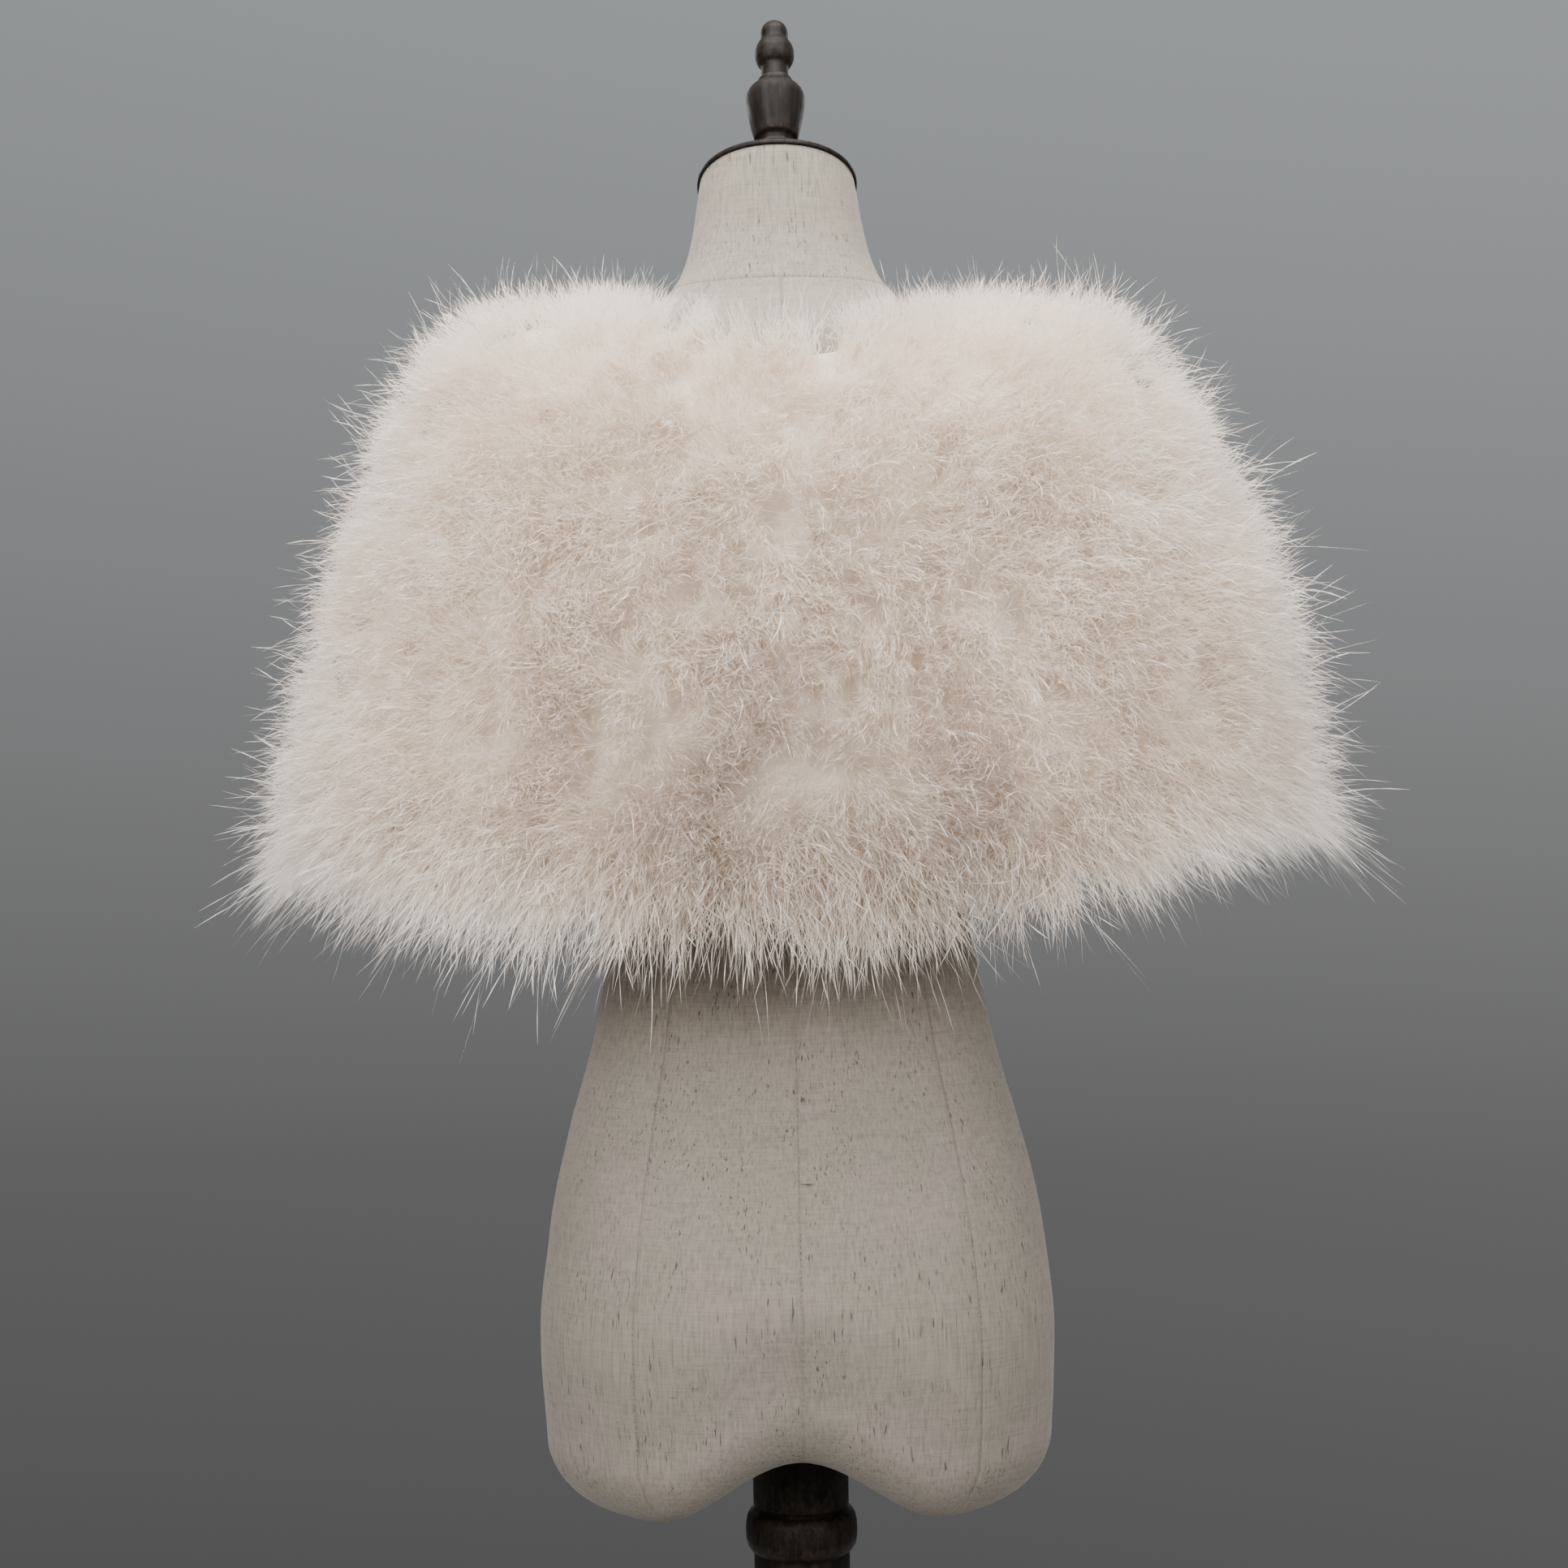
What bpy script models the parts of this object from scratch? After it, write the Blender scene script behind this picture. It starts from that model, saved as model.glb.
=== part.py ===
"""A marabou feather capelet worn on a linen dress form with a turned wooden stand.

The front faces -Y and the origin is the centre of the stand's underside, with +Z up. The capelet is a ground
cloth in three panels, a back and two fronts, that meet at seams over the shoulders. Plumes are sewn all over
each panel, and a plain solid of their reach lies on the cloth. Angles round the body are measured from the
centre back, towards +X.
"""

import math
from collections import namedtuple

import bmesh
import bpy
import numpy as np

MM = 0.001

FormSection = namedtuple("FormSection", "height half_width front back")
Turned = namedtuple("Turned", "height radius")
EdgeStep = namedtuple("EdgeStep", "height proud")
CapStep = namedtuple("CapStep", "inwards height")
CapeRing = namedtuple("CapeRing", "wide_left wide_right back front z_back z_left z_right z_front")
Fold = namedtuple("Fold", "angle spread depth begins")
PlumeReach = namedtuple("PlumeReach", "v reach")
Panel = namedtuple("Panel", "name first last columns")
WirePoint = namedtuple("WirePoint", "across out down")


def table(row_type, *rows):
    return [row_type(*row) for row in rows]


# Dress form: the height of each level section, its half width, and where its front and back lie
FORM_SECTIONS = table(
    FormSection,
    (0.700, 0.1570, -0.088, 0.112),
    (0.766, 0.1595, -0.096, 0.120),
    (0.828, 0.1530, -0.101, 0.113),
    (0.889, 0.1400, -0.098, 0.095),
    (0.950, 0.1240, -0.090, 0.078),
    (1.027, 0.1120, -0.082, 0.068),
    (1.090, 0.1190, -0.092, 0.077),
    (1.160, 0.1350, -0.112, 0.091),
    (1.225, 0.1480, -0.128, 0.100),
    (1.285, 0.1640, -0.108, 0.104),
    (1.325, 0.1780, -0.084, 0.100),
    (1.350, 0.1780, -0.066, 0.090),
    (1.366, 0.1600, -0.056, 0.080),
    (1.379, 0.1230, -0.049, 0.070),
    (1.391, 0.0920, -0.046, 0.060),
    (1.402, 0.0740, -0.045, 0.052),
    (1.418, 0.0620, -0.047, 0.046),
    (1.440, 0.0550, -0.051, 0.040),
    (1.476, 0.0490, -0.060, 0.036),
)
FORM_POINTS_ROUND = 44
FORM_ROUNDNESS = 2.15
NECK_TILT = math.radians(19)
NECK_TILT_STARTS = 1.425
FORM_FOOT = 0.655
FOOT_ROUNDING_UP = 0.045
FOOT_ROUNDING_IN = 0.34
ROUNDING_STEPS = (0, 22, 45, 67, 90)
UNDERSIDE_STEPS = (0.33, 0.66, 1.0)
NOTCH_HEIGHT = 0.040
NOTCH_HALF_WIDTH = 0.092
FORM_LINEN = (0.47, 0.43, 0.38)

# Turned wood: the neck cap, its finial, the pole and the base
CAP_OVERHANG = 0.0012
CAP_PROFILE = table(
    CapStep,
    (0.00, 0.0003),
    (0.00, 0.0030),
    (0.03, 0.0040),
    (0.20, 0.0071),
    (0.45, 0.0123),
    (0.72, 0.0180),
    (1.00, 0.0215),
)
CAP_SEAT_RADIUS = 0.015
FINIAL_PROFILE = table(
    Turned,
    (-0.0090, 0.0000),
    (-0.0090, 0.0128),
    (-0.0070, 0.0138),
    (-0.0045, 0.0126),
    (-0.0025, 0.0112),
    (0.0000, 0.0121),
    (0.0025, 0.0114),
    (0.0050, 0.0119),
    (0.0070, 0.0140),
    (0.0134, 0.0157),
    (0.0235, 0.0176),
    (0.0335, 0.0189),
    (0.0380, 0.0185),
    (0.0420, 0.0160),
    (0.0455, 0.0121),
    (0.0480, 0.0112),
    (0.0505, 0.0090),
    (0.0586, 0.0086),
    (0.0620, 0.0108),
    (0.0660, 0.0125),
    (0.0700, 0.0128),
    (0.0745, 0.0118),
    (0.0785, 0.0095),
    (0.0805, 0.0090),
    (0.0850, 0.0090),
    (0.0895, 0.0074),
    (0.0925, 0.0040),
    (0.0935, 0.0000),
)
POLE_RADIUS = 0.030
POLE_TOP = 0.722
POLE_SOCKET_CLEARANCE = 0.0004
COLLAR_HEIGHT = 0.633
COLLAR_HALF_DEPTH = 0.0125
COLLAR_RADIUS = 0.035
COLLAR_TURNS = (-90, -50, -15, 15, 50, 90)
BASE_RADIUS = 0.190
BASE_THICKNESS = 0.030
BASE_CROWN_RADIUS = 0.060
TURNED_STEPS = 40
FINIAL_STEPS = 28
BASE_STEPS = 56
# How far the pole's foot and the base's edge stand proud of their radius, upwards from their undersides
POLE_FOOT = table(EdgeStep, (0.0, 0.010), (0.010, 0.013), (0.022, 0.010), (0.030, 0.003), (0.040, 0.0))
BASE_EDGE = table(
    EdgeStep,
    (0.0, -0.004),
    (0.004, 0.0),
    (0.012, 0.0),
    (0.017, -0.003),
    (0.020, -0.010),
    (0.021, -0.016),
    (0.024, -0.024),
)
WALNUT = (0.035, 0.022, 0.015)

# Capelet: each ring of the ground cloth from neck edge to hem. Half widths on the +X and -X sides, where the
# back and front lie, and the heights at the back, over each shoulder and at the front
CAPE_RINGS = table(
    CapeRing,
    (0.098, 0.112, 0.094, -0.086, 1.352, 1.390, 1.385, 1.330),
    (0.135, 0.144, 0.104, -0.106, 1.325, 1.377, 1.375, 1.300),
    (0.166, 0.172, 0.109, -0.122, 1.295, 1.365, 1.369, 1.268),
    (0.191, 0.199, 0.113, -0.138, 1.262, 1.344, 1.353, 1.236),
    (0.213, 0.221, 0.117, -0.147, 1.225, 1.298, 1.306, 1.201),
    (0.237, 0.244, 0.123, -0.155, 1.178, 1.236, 1.244, 1.158),
    (0.260, 0.268, 0.131, -0.163, 1.124, 1.172, 1.184, 1.110),
    (0.284, 0.294, 0.140, -0.171, 1.073, 1.108, 1.122, 1.066),
    (0.299, 0.313, 0.147, -0.176, 1.032, 1.062, 1.078, 1.034),
)
SHOULDER_LINE = 0.012
CLOTH = 0.0016
FORM_CLEARANCE = 0.0024
LAID_TO = 0.05
LOOSE_FROM = 0.42
FRONT_GAP_NECK = 0.007
FRONT_GAP_HEM = 0.040
SEAM_GAP = 0.3 * MM

# Soft folds that run up from the hem: angle, spread in degrees, depth, and the v at which they begin
FOLDS = table(
    Fold,
    (10, 6.0, 0.010, 0.45),
    (31, 7.0, 0.007, 0.35),
    (55, 8.0, 0.009, 0.50),
    (79, 7.0, 0.006, 0.55),
    (104, 8.0, 0.009, 0.45),
    (128, 7.0, 0.008, 0.50),
    (151, 7.0, 0.007, 0.40),
    (-21, 6.5, 0.011, 0.40),
    (-44, 7.5, 0.007, 0.55),
    (-67, 8.0, 0.010, 0.45),
    (-92, 7.5, 0.007, 0.50),
    (-117, 8.0, 0.009, 0.42),
    (-143, 7.0, 0.007, 0.52),
)

# Plumes: how far they reach out from the cloth, from the neck edge at v 0 to the hem at v 1
PLUME_REACHES = table(PlumeReach, (0.00, 0.013), (0.10, 0.026), (0.28, 0.046), (0.45, 0.044), (1.00, 0.040))
PLUME_PAST_NECK = 0.022
PLUME_PAST_HEM = 0.048
PLUME_FRONT_ROUNDING = 0.030
PLUME_SHARE_AT_FRONT = 0.45
PLUME_EDGE = 0.006
PLUME_AIM_ANGLE = 4.0
PLUME_AIM_V = 0.05
PLUME_END_STEPS = (0.55, 0.85, 1.0)
CAPE_LENGTH = 0.36
IVORY = (0.80, 0.72, 0.65)
KNIT = (0.62, 0.55, 0.49)

# Panels of the capelet: name, first and last angle round the body, and columns of the mesh
PANELS = table(
    Panel,
    ("back", -90.0, 90.0, 26),
    ("left_front", 90.0, 180.0, 14),
    ("right_front", -180.0, -90.0, 14),
)
CLOTH_ROWS = 12

# Hook and bar of bent wire that close the fronts at the neck, in millimetres: across the gap towards +X, out of
# the cloth, and down it
HOOK_WIRE_RADIUS = 0.5 * MM
HOOK_AT_V = 0.035
HOOK_ROOT = 0.5 * MM
HOOK_MM = table(
    WirePoint,
    (-2.9, 0.6, 0),
    (-1.3, 1.30, 0),
    (0.4, 1.35, 0),
    (1.6, 1.0, 0),
    (2.1, 0.0, 0),
    (1.6, -1.0, 0),
    (0.8, -1.35, 0),
    (-0.2, -1.30, 0),
)
BAR_MM = table(
    WirePoint,
    (1.4, 0, -1.9),
    (0.5, 0, -1.1),
    (0.2, 0, 0),
    (0.5, 0, 1.1),
    (1.4, 0, 1.9),
)
BAR_ROOT_SPREAD_MM = 2.2
STEEL = (0.60, 0.60, 0.58)


def clear_scene():
    for obj in list(bpy.data.objects):
        bpy.data.objects.remove(obj)


def material(name, colour, roughness, metallic=0.0):
    made = bpy.data.materials.new(name)
    made.use_nodes = True
    shader = made.node_tree.nodes["Principled BSDF"]
    shader.inputs["Base Color"].default_value = (*colour, 1.0)
    shader.inputs["Roughness"].default_value = roughness
    shader.inputs["Metallic"].default_value = metallic
    return made


def add_object(name, data, finish):
    made = bpy.data.objects.new(name, data)
    bpy.context.scene.collection.objects.link(made)
    data.materials.append(finish)
    return made


def smooth_through(stations, values, at):
    """A curve through the stations that never overshoots them: cubic pieces with monotone slopes."""
    stations = np.asarray(stations, float)
    values = np.asarray(values, float)
    step = np.diff(stations)
    slope = np.diff(values) / step
    inner = np.where(
        slope[:-1] * slope[1:] > 0,
        2 * slope[:-1] * slope[1:] / np.where(slope[:-1] + slope[1:] == 0, 1, slope[:-1] + slope[1:]),
        0,
    )
    tangent = np.concatenate([[slope[0]], inner, [slope[-1]]])
    at = np.asarray(at, float)
    k = np.clip(np.searchsorted(stations, at) - 1, 0, len(step) - 1)
    t = (at - stations[k]) / step[k]
    inside = (
        (2 * t**3 - 3 * t**2 + 1) * values[k]
        + (t**3 - 2 * t**2 + t) * step[k] * tangent[k]
        + (3 * t**2 - 2 * t**3) * values[k + 1]
        + (t**3 - t**2) * step[k] * tangent[k + 1]
    )
    before = values[0] + (at - stations[0]) * tangent[0]
    after = values[-1] + (at - stations[-1]) * tangent[-1]
    return np.where(at < stations[0], before, np.where(at > stations[-1], after, inside))


def column(rows, name):
    return [getattr(row, name) for row in rows]


def ease(x):
    x = np.clip(x, 0, 1)
    return x * x * (3 - 2 * x)


def form_section(height):
    """Half width, middle and half depth of the dress form at each height."""
    levels = column(FORM_SECTIONS, "height")
    height = np.clip(height, levels[0], levels[-1])
    names = ("half_width", "front", "back")
    wide, front, back = (smooth_through(levels, column(FORM_SECTIONS, name), height) for name in names)
    return wide, (front + back) / 2, (back - front) / 2


def form_outline(height):
    """Points round one level section, as a rounded oval."""
    wide, middle, deep = form_section(height)
    turn = np.linspace(0, 2 * math.pi, FORM_POINTS_ROUND, endpoint=False)
    power = 2 / FORM_ROUNDNESS
    x = wide * np.sign(np.cos(turn)) * np.abs(np.cos(turn)) ** power
    y = middle + deep * np.sign(np.sin(turn)) * np.abs(np.sin(turn)) ** power
    return x, y


def notch(x):
    """How far the underside rises at x, in a groove that runs from front to back."""
    across = np.minimum(np.abs(x) / NOTCH_HALF_WIDTH, 1)
    return NOTCH_HEIGHT * (0.5 + 0.5 * np.cos(math.pi * across))


def form_rings():
    """Rings of the form: the neck's tilted top, down the body, under its foot and up into the pole's socket."""
    levels = np.array(column(FORM_SECTIONS, "height"))
    top, foot_wall = levels[-1], FORM_FOOT + FOOT_ROUNDING_UP
    between = (levels[2:9] + levels[1:8]) / 2
    marks = np.sort(np.concatenate([levels[1:], between]))[::-1]
    rings = []
    for height in marks:
        x, y = form_outline(height)
        middle = form_section(height)[1]
        lean = np.clip((height - NECK_TILT_STARTS) / (top - NECK_TILT_STARTS), 0, 1)
        rings.append(np.stack([x, y, height + lean * (y - middle) * math.tan(NECK_TILT)], 1))
    x, y = form_outline(foot_wall)
    middle = form_section(foot_wall)[1]
    for turn in np.radians(ROUNDING_STEPS):
        shrink = 1 - FOOT_ROUNDING_IN * (1 - math.cos(turn))
        height = foot_wall - FOOT_ROUNDING_UP * math.sin(turn) + notch(x * shrink)
        rings.append(np.stack([x * shrink, middle + (y - middle) * shrink, height], 1))
    socket = POLE_RADIUS + POLE_SOCKET_CLEARANCE
    angle = np.arctan2(y - middle, x)
    hole = np.stack([socket * np.cos(angle), socket * np.sin(angle)], 1)
    flat = rings[-1][:, :2]
    for share in UNDERSIDE_STEPS:
        xy = flat + (hole - flat) * share
        rings.append(np.column_stack([xy, FORM_FOOT + notch(xy[:, 0])]))
    ceiling = POLE_TOP + SEAM_GAP
    rings.append(np.column_stack([hole, np.full(len(hole), ceiling)]))
    return rings


def mesh_object(name, points, faces, finish, crease):
    """An object from points and faces, smooth but for edges sharper than the crease."""
    data = bpy.data.meshes.new(name)
    data.from_pydata(points.tolist(), [], faces)
    data.shade_smooth()
    data.set_sharp_from_angle(angle=crease)
    return add_object(name, data, finish)


def loft(name, rings, finish, crease=math.radians(40)):
    """A closed solid through rings of equal length, from the top one down. Its end rings are filled."""
    rings = np.array(rings)
    levels, count = rings.shape[:2]
    index = np.arange(levels * count).reshape(levels, count)
    beside = np.roll(index, -1, axis=1)
    sides = np.stack([index[:-1], index[1:], beside[1:], beside[:-1]], -1).reshape(-1, 4)
    faces = sides.tolist() + [index[0].tolist(), index[-1, ::-1].tolist()]
    return mesh_object(name, rings.reshape(-1, 3), faces, finish, crease)


def wall(name, inner, outer, finish, crease=math.radians(50)):
    """A closed wall between two grids of points of equal shape, joined by a strip round their edge."""
    rows, columns = inner.shape[:2]
    count = rows * columns
    index = np.arange(count).reshape(rows, columns)
    corners = (index[:-1, :-1], index[:-1, 1:], index[1:, 1:], index[1:, :-1])
    a, b, c, d = (corner.reshape(-1) for corner in corners)
    halves = np.concatenate([np.stack([a, b, c], -1), np.stack([a, c, d], -1)])
    rim = np.concatenate([index[0, :-1], index[:-1, -1], index[-1, :0:-1], index[:0:-1, 0]])
    after = np.roll(rim, -1)
    first_edge = np.arange(len(rim)) > len(rim) - rows
    upper = np.stack([after + count, rim + count, np.where(first_edge, after, rim)], -1)
    lower = np.stack([np.where(first_edge, rim, after) + count, rim, after], -1)
    faces = np.concatenate([halves + count, halves[:, ::-1], upper, lower]).tolist()
    points = np.concatenate([inner.reshape(-1, 3), outer.reshape(-1, 3)])
    return mesh_object(name, points, faces, finish, crease)


def turned(name, profile, finish, steps):
    """A solid turned round its own Z axis from a profile of (height, radius) that starts and ends on the axis."""
    turn = np.linspace(0, 2 * math.pi, steps, endpoint=False)
    mesh = bmesh.new()
    rings = []
    for height, radius in profile:
        if radius == 0:
            rings.append([mesh.verts.new((0, 0, height))])
        else:
            ring = [(radius * math.cos(t), radius * math.sin(t), height) for t in turn]
            rings.append([mesh.verts.new(point) for point in ring])
    for low, high in zip(rings, rings[1:]):
        for i in range(steps):
            j = (i + 1) % steps
            corners = [low[i % len(low)], low[j % len(low)], high[j % len(high)], high[i % len(high)]]
            mesh.faces.new(list(dict.fromkeys(corners)))
    bmesh.ops.recalc_face_normals(mesh, faces=mesh.faces[:])
    data = bpy.data.meshes.new(name)
    mesh.to_mesh(data)
    mesh.free()
    data.shade_smooth()
    data.set_sharp_from_angle(angle=math.radians(35))
    return add_object(name, data, finish)


def neck_frame():
    """An empty on the middle of the neck's tilted top. Its Z axis is the neck's."""
    top = FORM_SECTIONS[-1].height
    middle = form_section(top)[1]
    frame = bpy.data.objects.new("neck_frame", None)
    frame.location = (0, float(middle), top)
    frame.rotation_euler = (NECK_TILT, 0, 0)
    bpy.context.scene.collection.objects.link(frame)
    return frame


def neck_cap(frame, finish):
    """A wooden dome with the neck's own outline, and a round flat seat for the finial."""
    top = FORM_SECTIONS[-1].height
    x, y = form_outline(top)
    outline = np.stack([x, (y - form_section(top)[1]) / math.cos(NECK_TILT)], 1)
    reach = np.linalg.norm(outline, axis=1, keepdims=True)
    edge = outline * (1 + CAP_OVERHANG / reach)
    seat = outline / reach * CAP_SEAT_RADIUS
    rings = [
        np.column_stack([edge + (seat - edge) * step.inwards, 0 * x + step.height]) for step in CAP_PROFILE[::-1]
    ]
    loft("neck_cap", rings, finish).parent = frame


def finial(frame, finish):
    """A turned urn with a bead and a small dome, on a round foot."""
    foot = CAP_PROFILE[-1].height + SEAM_GAP - FINIAL_PROFILE[0].height
    profile = [(foot + height, radius) for height, radius in FINIAL_PROFILE]
    turned("neck_finial", profile, finish, FINIAL_STEPS).parent = frame


def stand(finish):
    """The pole with its foot and its turned collar, and the round base that it stands on."""
    foot = BASE_THICKNESS + SEAM_GAP
    profile = [(foot, 0.0)] + [(foot + height, POLE_RADIUS + proud) for height, proud in POLE_FOOT]
    for turn in np.radians(COLLAR_TURNS):
        bulge = (COLLAR_RADIUS - POLE_RADIUS) * math.cos(turn)
        profile.append((COLLAR_HEIGHT + COLLAR_HALF_DEPTH * math.sin(turn), POLE_RADIUS + bulge))
    profile += [(POLE_TOP, POLE_RADIUS), (POLE_TOP, 0.0)]
    turned("stand_pole", profile, finish, TURNED_STEPS)
    base = [(0.0, 0.0)] + [(height, BASE_RADIUS + proud) for height, proud in BASE_EDGE]
    base += [(BASE_THICKNESS, BASE_CROWN_RADIUS), (BASE_THICKNESS, 0.0)]
    turned("stand_base", base, finish, BASE_STEPS)


def form_distance(points):
    """About how far each point is from the form's surface, negative inside, and the way straight out."""

    def field(p):
        wide, middle, deep = form_section(p[..., 2])
        power = FORM_ROUNDNESS
        round_it = np.abs(p[..., 0] / wide) ** power + np.abs((p[..., 1] - middle) / deep) ** power
        return np.maximum(round_it, 1e-9) ** (1 / power) - 1

    step = 1e-4
    here = field(points)
    slope = np.stack(
        [(field(points + step * axis) - field(points - step * axis)) / (2 * step) for axis in np.eye(3)], -1
    )
    steep = np.linalg.norm(slope, axis=-1)
    return here / steep, slope / steep[..., None]


def off_the_form(points, clearance, drawn_in=False):
    """Points moved out until they clear the form, or also drawn in until they lie at that clearance."""
    for _ in range(8):
        distance, outward = form_distance(points)
        short = clearance - distance
        move = short if drawn_in else np.maximum(short, 0)
        points = points + np.clip(move, -0.01, 0.01)[..., None] * outward
    return points


def ring_values(name, v):
    stations = np.linspace(0, 1, len(CAPE_RINGS))
    return smooth_through(stations, column(CAPE_RINGS, name), v)


def fold_depth(angle, v):
    """How far the folds draw the cloth in at this angle, in degrees, and this v."""
    drawn = np.zeros(np.broadcast(angle, v).shape)
    for fold in FOLDS:
        off = (angle - fold.angle + 180) % 360 - 180
        reached = ease((v - fold.begins) / (1 - fold.begins))
        drawn = drawn + fold.depth * np.exp(-((off / fold.spread) ** 2)) * reached
    return drawn


def cape_surface(angle, v, folded=1.0):
    """The inner face of the ground cloth, at an angle in degrees and v from 0 at the neck to 1 at the hem."""
    turn = np.radians(angle)
    side, away = np.sin(turn), np.cos(turn)
    left = side > 0
    wide = np.where(left, ring_values("wide_left", v), ring_values("wide_right", v))
    back, front = ring_values("back", v), ring_values("front", v)
    deep = np.where(away > 0, back - SHOULDER_LINE, SHOULDER_LINE - front)
    z_side = np.where(left, ring_values("z_left", v), ring_values("z_right", v))
    z_end = np.where(away > 0, ring_values("z_back", v), ring_values("z_front", v))
    drawn = 1 - folded * fold_depth(angle, v) / np.hypot(wide * side, deep * away)
    x = wide * side * drawn
    y = SHOULDER_LINE + deep * away * drawn
    z = z_side + (z_end - z_side) * away**2
    points = np.stack([x, y, z], -1)
    laid = 1 - ease((v - LAID_TO) / (LOOSE_FROM - LAID_TO))
    on_form = off_the_form(points, FORM_CLEARANCE, drawn_in=True)
    return off_the_form(points + (on_form - points) * laid[..., None], FORM_CLEARANCE)


def cape_frame(angle, v, folded=1.0, nudge_angle=0.4, nudge_v=0.004):
    """Points on the cloth's inner face, the outward normals there, and the step per unit of v."""
    held = np.clip(v, nudge_v, 1 - nudge_v)
    middle = cape_surface(angle, held, folded)
    below = cape_surface(angle, held + nudge_v, folded)
    above = cape_surface(angle, held - nudge_v, folded)
    down = (below - above) / (2 * nudge_v)
    ahead = cape_surface(angle + nudge_angle, held, folded)
    behind = cape_surface(angle - nudge_angle, held, folded)
    normal = np.cross(ahead - behind, down)
    normal /= np.linalg.norm(normal, axis=-1, keepdims=True)
    points = middle + (v - held)[..., None] * down
    return points, normal, down


def panel_angles(panel, v):
    """Angles of a panel's columns at v. An edge at 180 degrees stops short, which leaves the front gap."""
    gap = FRONT_GAP_NECK + (FRONT_GAP_HEM - FRONT_GAP_NECK) * np.clip(v, 0, 1)
    half_front = np.degrees(gap / 2 / ring_values("wide_left", np.clip(v, 0, 1)))
    seam = np.degrees(SEAM_GAP / 2 / ring_values("wide_left", np.clip(v, 0, 1)))
    low = panel.first + (half_front if panel.first == -180 else seam)
    high = panel.last - (half_front if panel.last == 180 else seam)
    share = np.linspace(0, 1, panel.columns)
    return low[..., None] + (high - low)[..., None] * share


def panel_grid(panel, v):
    """Angle and v of each point of a panel, one row for each v."""
    angle = panel_angles(panel, v)
    return angle, np.broadcast_to(v[:, None], angle.shape)


def ground_panel(panel, finish):
    """One panel of the ground cloth, as a wall of the cloth's thickness."""
    v = np.linspace(0, 1, CLOTH_ROWS)
    inner, normal, _ = cape_frame(*panel_grid(panel, v))
    wall("ground_" + panel.name, inner, inner + normal * CLOTH, finish)


def plume_panel(panel, finish):
    """The reach of the plumes on one panel: made from the cloth's own points, and past its neck and hem."""
    ends = np.array(PLUME_END_STEPS)
    past_neck = np.round(PLUME_PAST_NECK / CAPE_LENGTH, 4)
    past_hem = np.round(PLUME_PAST_HEM / CAPE_LENGTH, 4)
    v = np.concatenate([-past_neck * ends[::-1], np.linspace(0, 1, CLOTH_ROWS), 1 + past_hem * ends])
    angle, rows = panel_grid(panel, v)
    face, normal, _ = cape_frame(angle, rows)
    inner = face + normal * (CLOTH + SEAM_GAP)
    over = np.where(rows < 0, -rows / past_neck, np.where(rows > 1, (rows - 1) / past_hem, 0))
    to_front = np.radians(180 - np.abs(angle)) * ring_values("wide_left", np.clip(rows, 0, 1))
    front = np.clip(to_front / PLUME_FRONT_ROUNDING, 0, 1)
    beside_front = PLUME_SHARE_AT_FRONT + (1 - PLUME_SHARE_AT_FRONT) * np.sqrt(1 - (1 - front) ** 2)
    rounding = np.sqrt(np.clip(1 - over**2, 0, 1)) * beside_front
    full = smooth_through(column(PLUME_REACHES, "v"), column(PLUME_REACHES, "reach"), np.clip(rows, 0, 1))
    reach = PLUME_EDGE + (full - PLUME_EDGE) * rounding
    aimed = angle.copy()
    aimed[:, 0], aimed[:, -1] = panel.first, panel.last
    _, aim, _ = cape_frame(aimed, rows, 0.0, PLUME_AIM_ANGLE, PLUME_AIM_V)
    outer = inner + aim * reach[..., None]
    clear = FORM_CLEARANCE + CLOTH + SEAM_GAP
    past = (rows < 0)[..., None]
    inner = np.where(past, off_the_form(inner, clear), inner)
    outer = np.where(past, off_the_form(outer, clear + PLUME_EDGE), outer)
    wall("plumes_" + panel.name, inner, outer, finish)


def wire(name, points, finish):
    """A round wire through the points, with flat ends."""
    data = bpy.data.curves.new(name, "CURVE")
    data.dimensions = "3D"
    data.bevel_depth = HOOK_WIRE_RADIUS
    data.bevel_resolution = 1
    data.use_fill_caps = True
    spline = data.splines.new("POLY")
    spline.points.add(len(points) - 1)
    spline.points.foreach_set("co", np.column_stack([points, np.ones(len(points))]).ravel())
    return add_object(name, data, finish)


def hook_and_bar(finish):
    """A hook sewn to the right front's edge and through a bar on the left front's, in the gap between them."""
    at = np.array([HOOK_AT_V])
    left_front = next(panel for panel in PANELS if panel.last == 180)
    gap_edge = panel_angles(left_front, at)[0, -1:]
    middle, normal, down = (value[0] for value in cape_frame(np.array([180.0]), at))
    edge = cape_surface(gap_edge, at)[0]
    middle = np.array([0, *middle[1:]]) + normal * CLOTH / 2
    half_gap = (edge[0] - HOOK_ROOT) / MM
    frame = np.array([(1, 0, 0), normal, down / np.linalg.norm(down)]) * MM
    hook = ((-half_gap, 0, 0), *HOOK_MM)
    bar = ((half_gap, 0, -BAR_ROOT_SPREAD_MM), *BAR_MM, (half_gap, 0, BAR_ROOT_SPREAD_MM))
    wire("neck_hook", middle + np.array(hook) @ frame, finish)
    wire("neck_bar", middle + np.array(bar) @ frame, finish)


def main():
    clear_scene()
    linen = material("linen", FORM_LINEN, 0.9)
    wood = material("dark_wood", WALNUT, 0.3)
    knit = material("ground_knit", KNIT, 0.9)
    feather = material("marabou", IVORY, 0.85)
    loft("form_torso", form_rings(), linen)
    frame = neck_frame()
    neck_cap(frame, wood)
    finial(frame, wood)
    stand(wood)
    for panel in PANELS:
        ground_panel(panel, knit)
        plume_panel(panel, feather)
    hook_and_bar(material("hook_steel", STEEL, 0.3, 1.0))


main()
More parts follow.
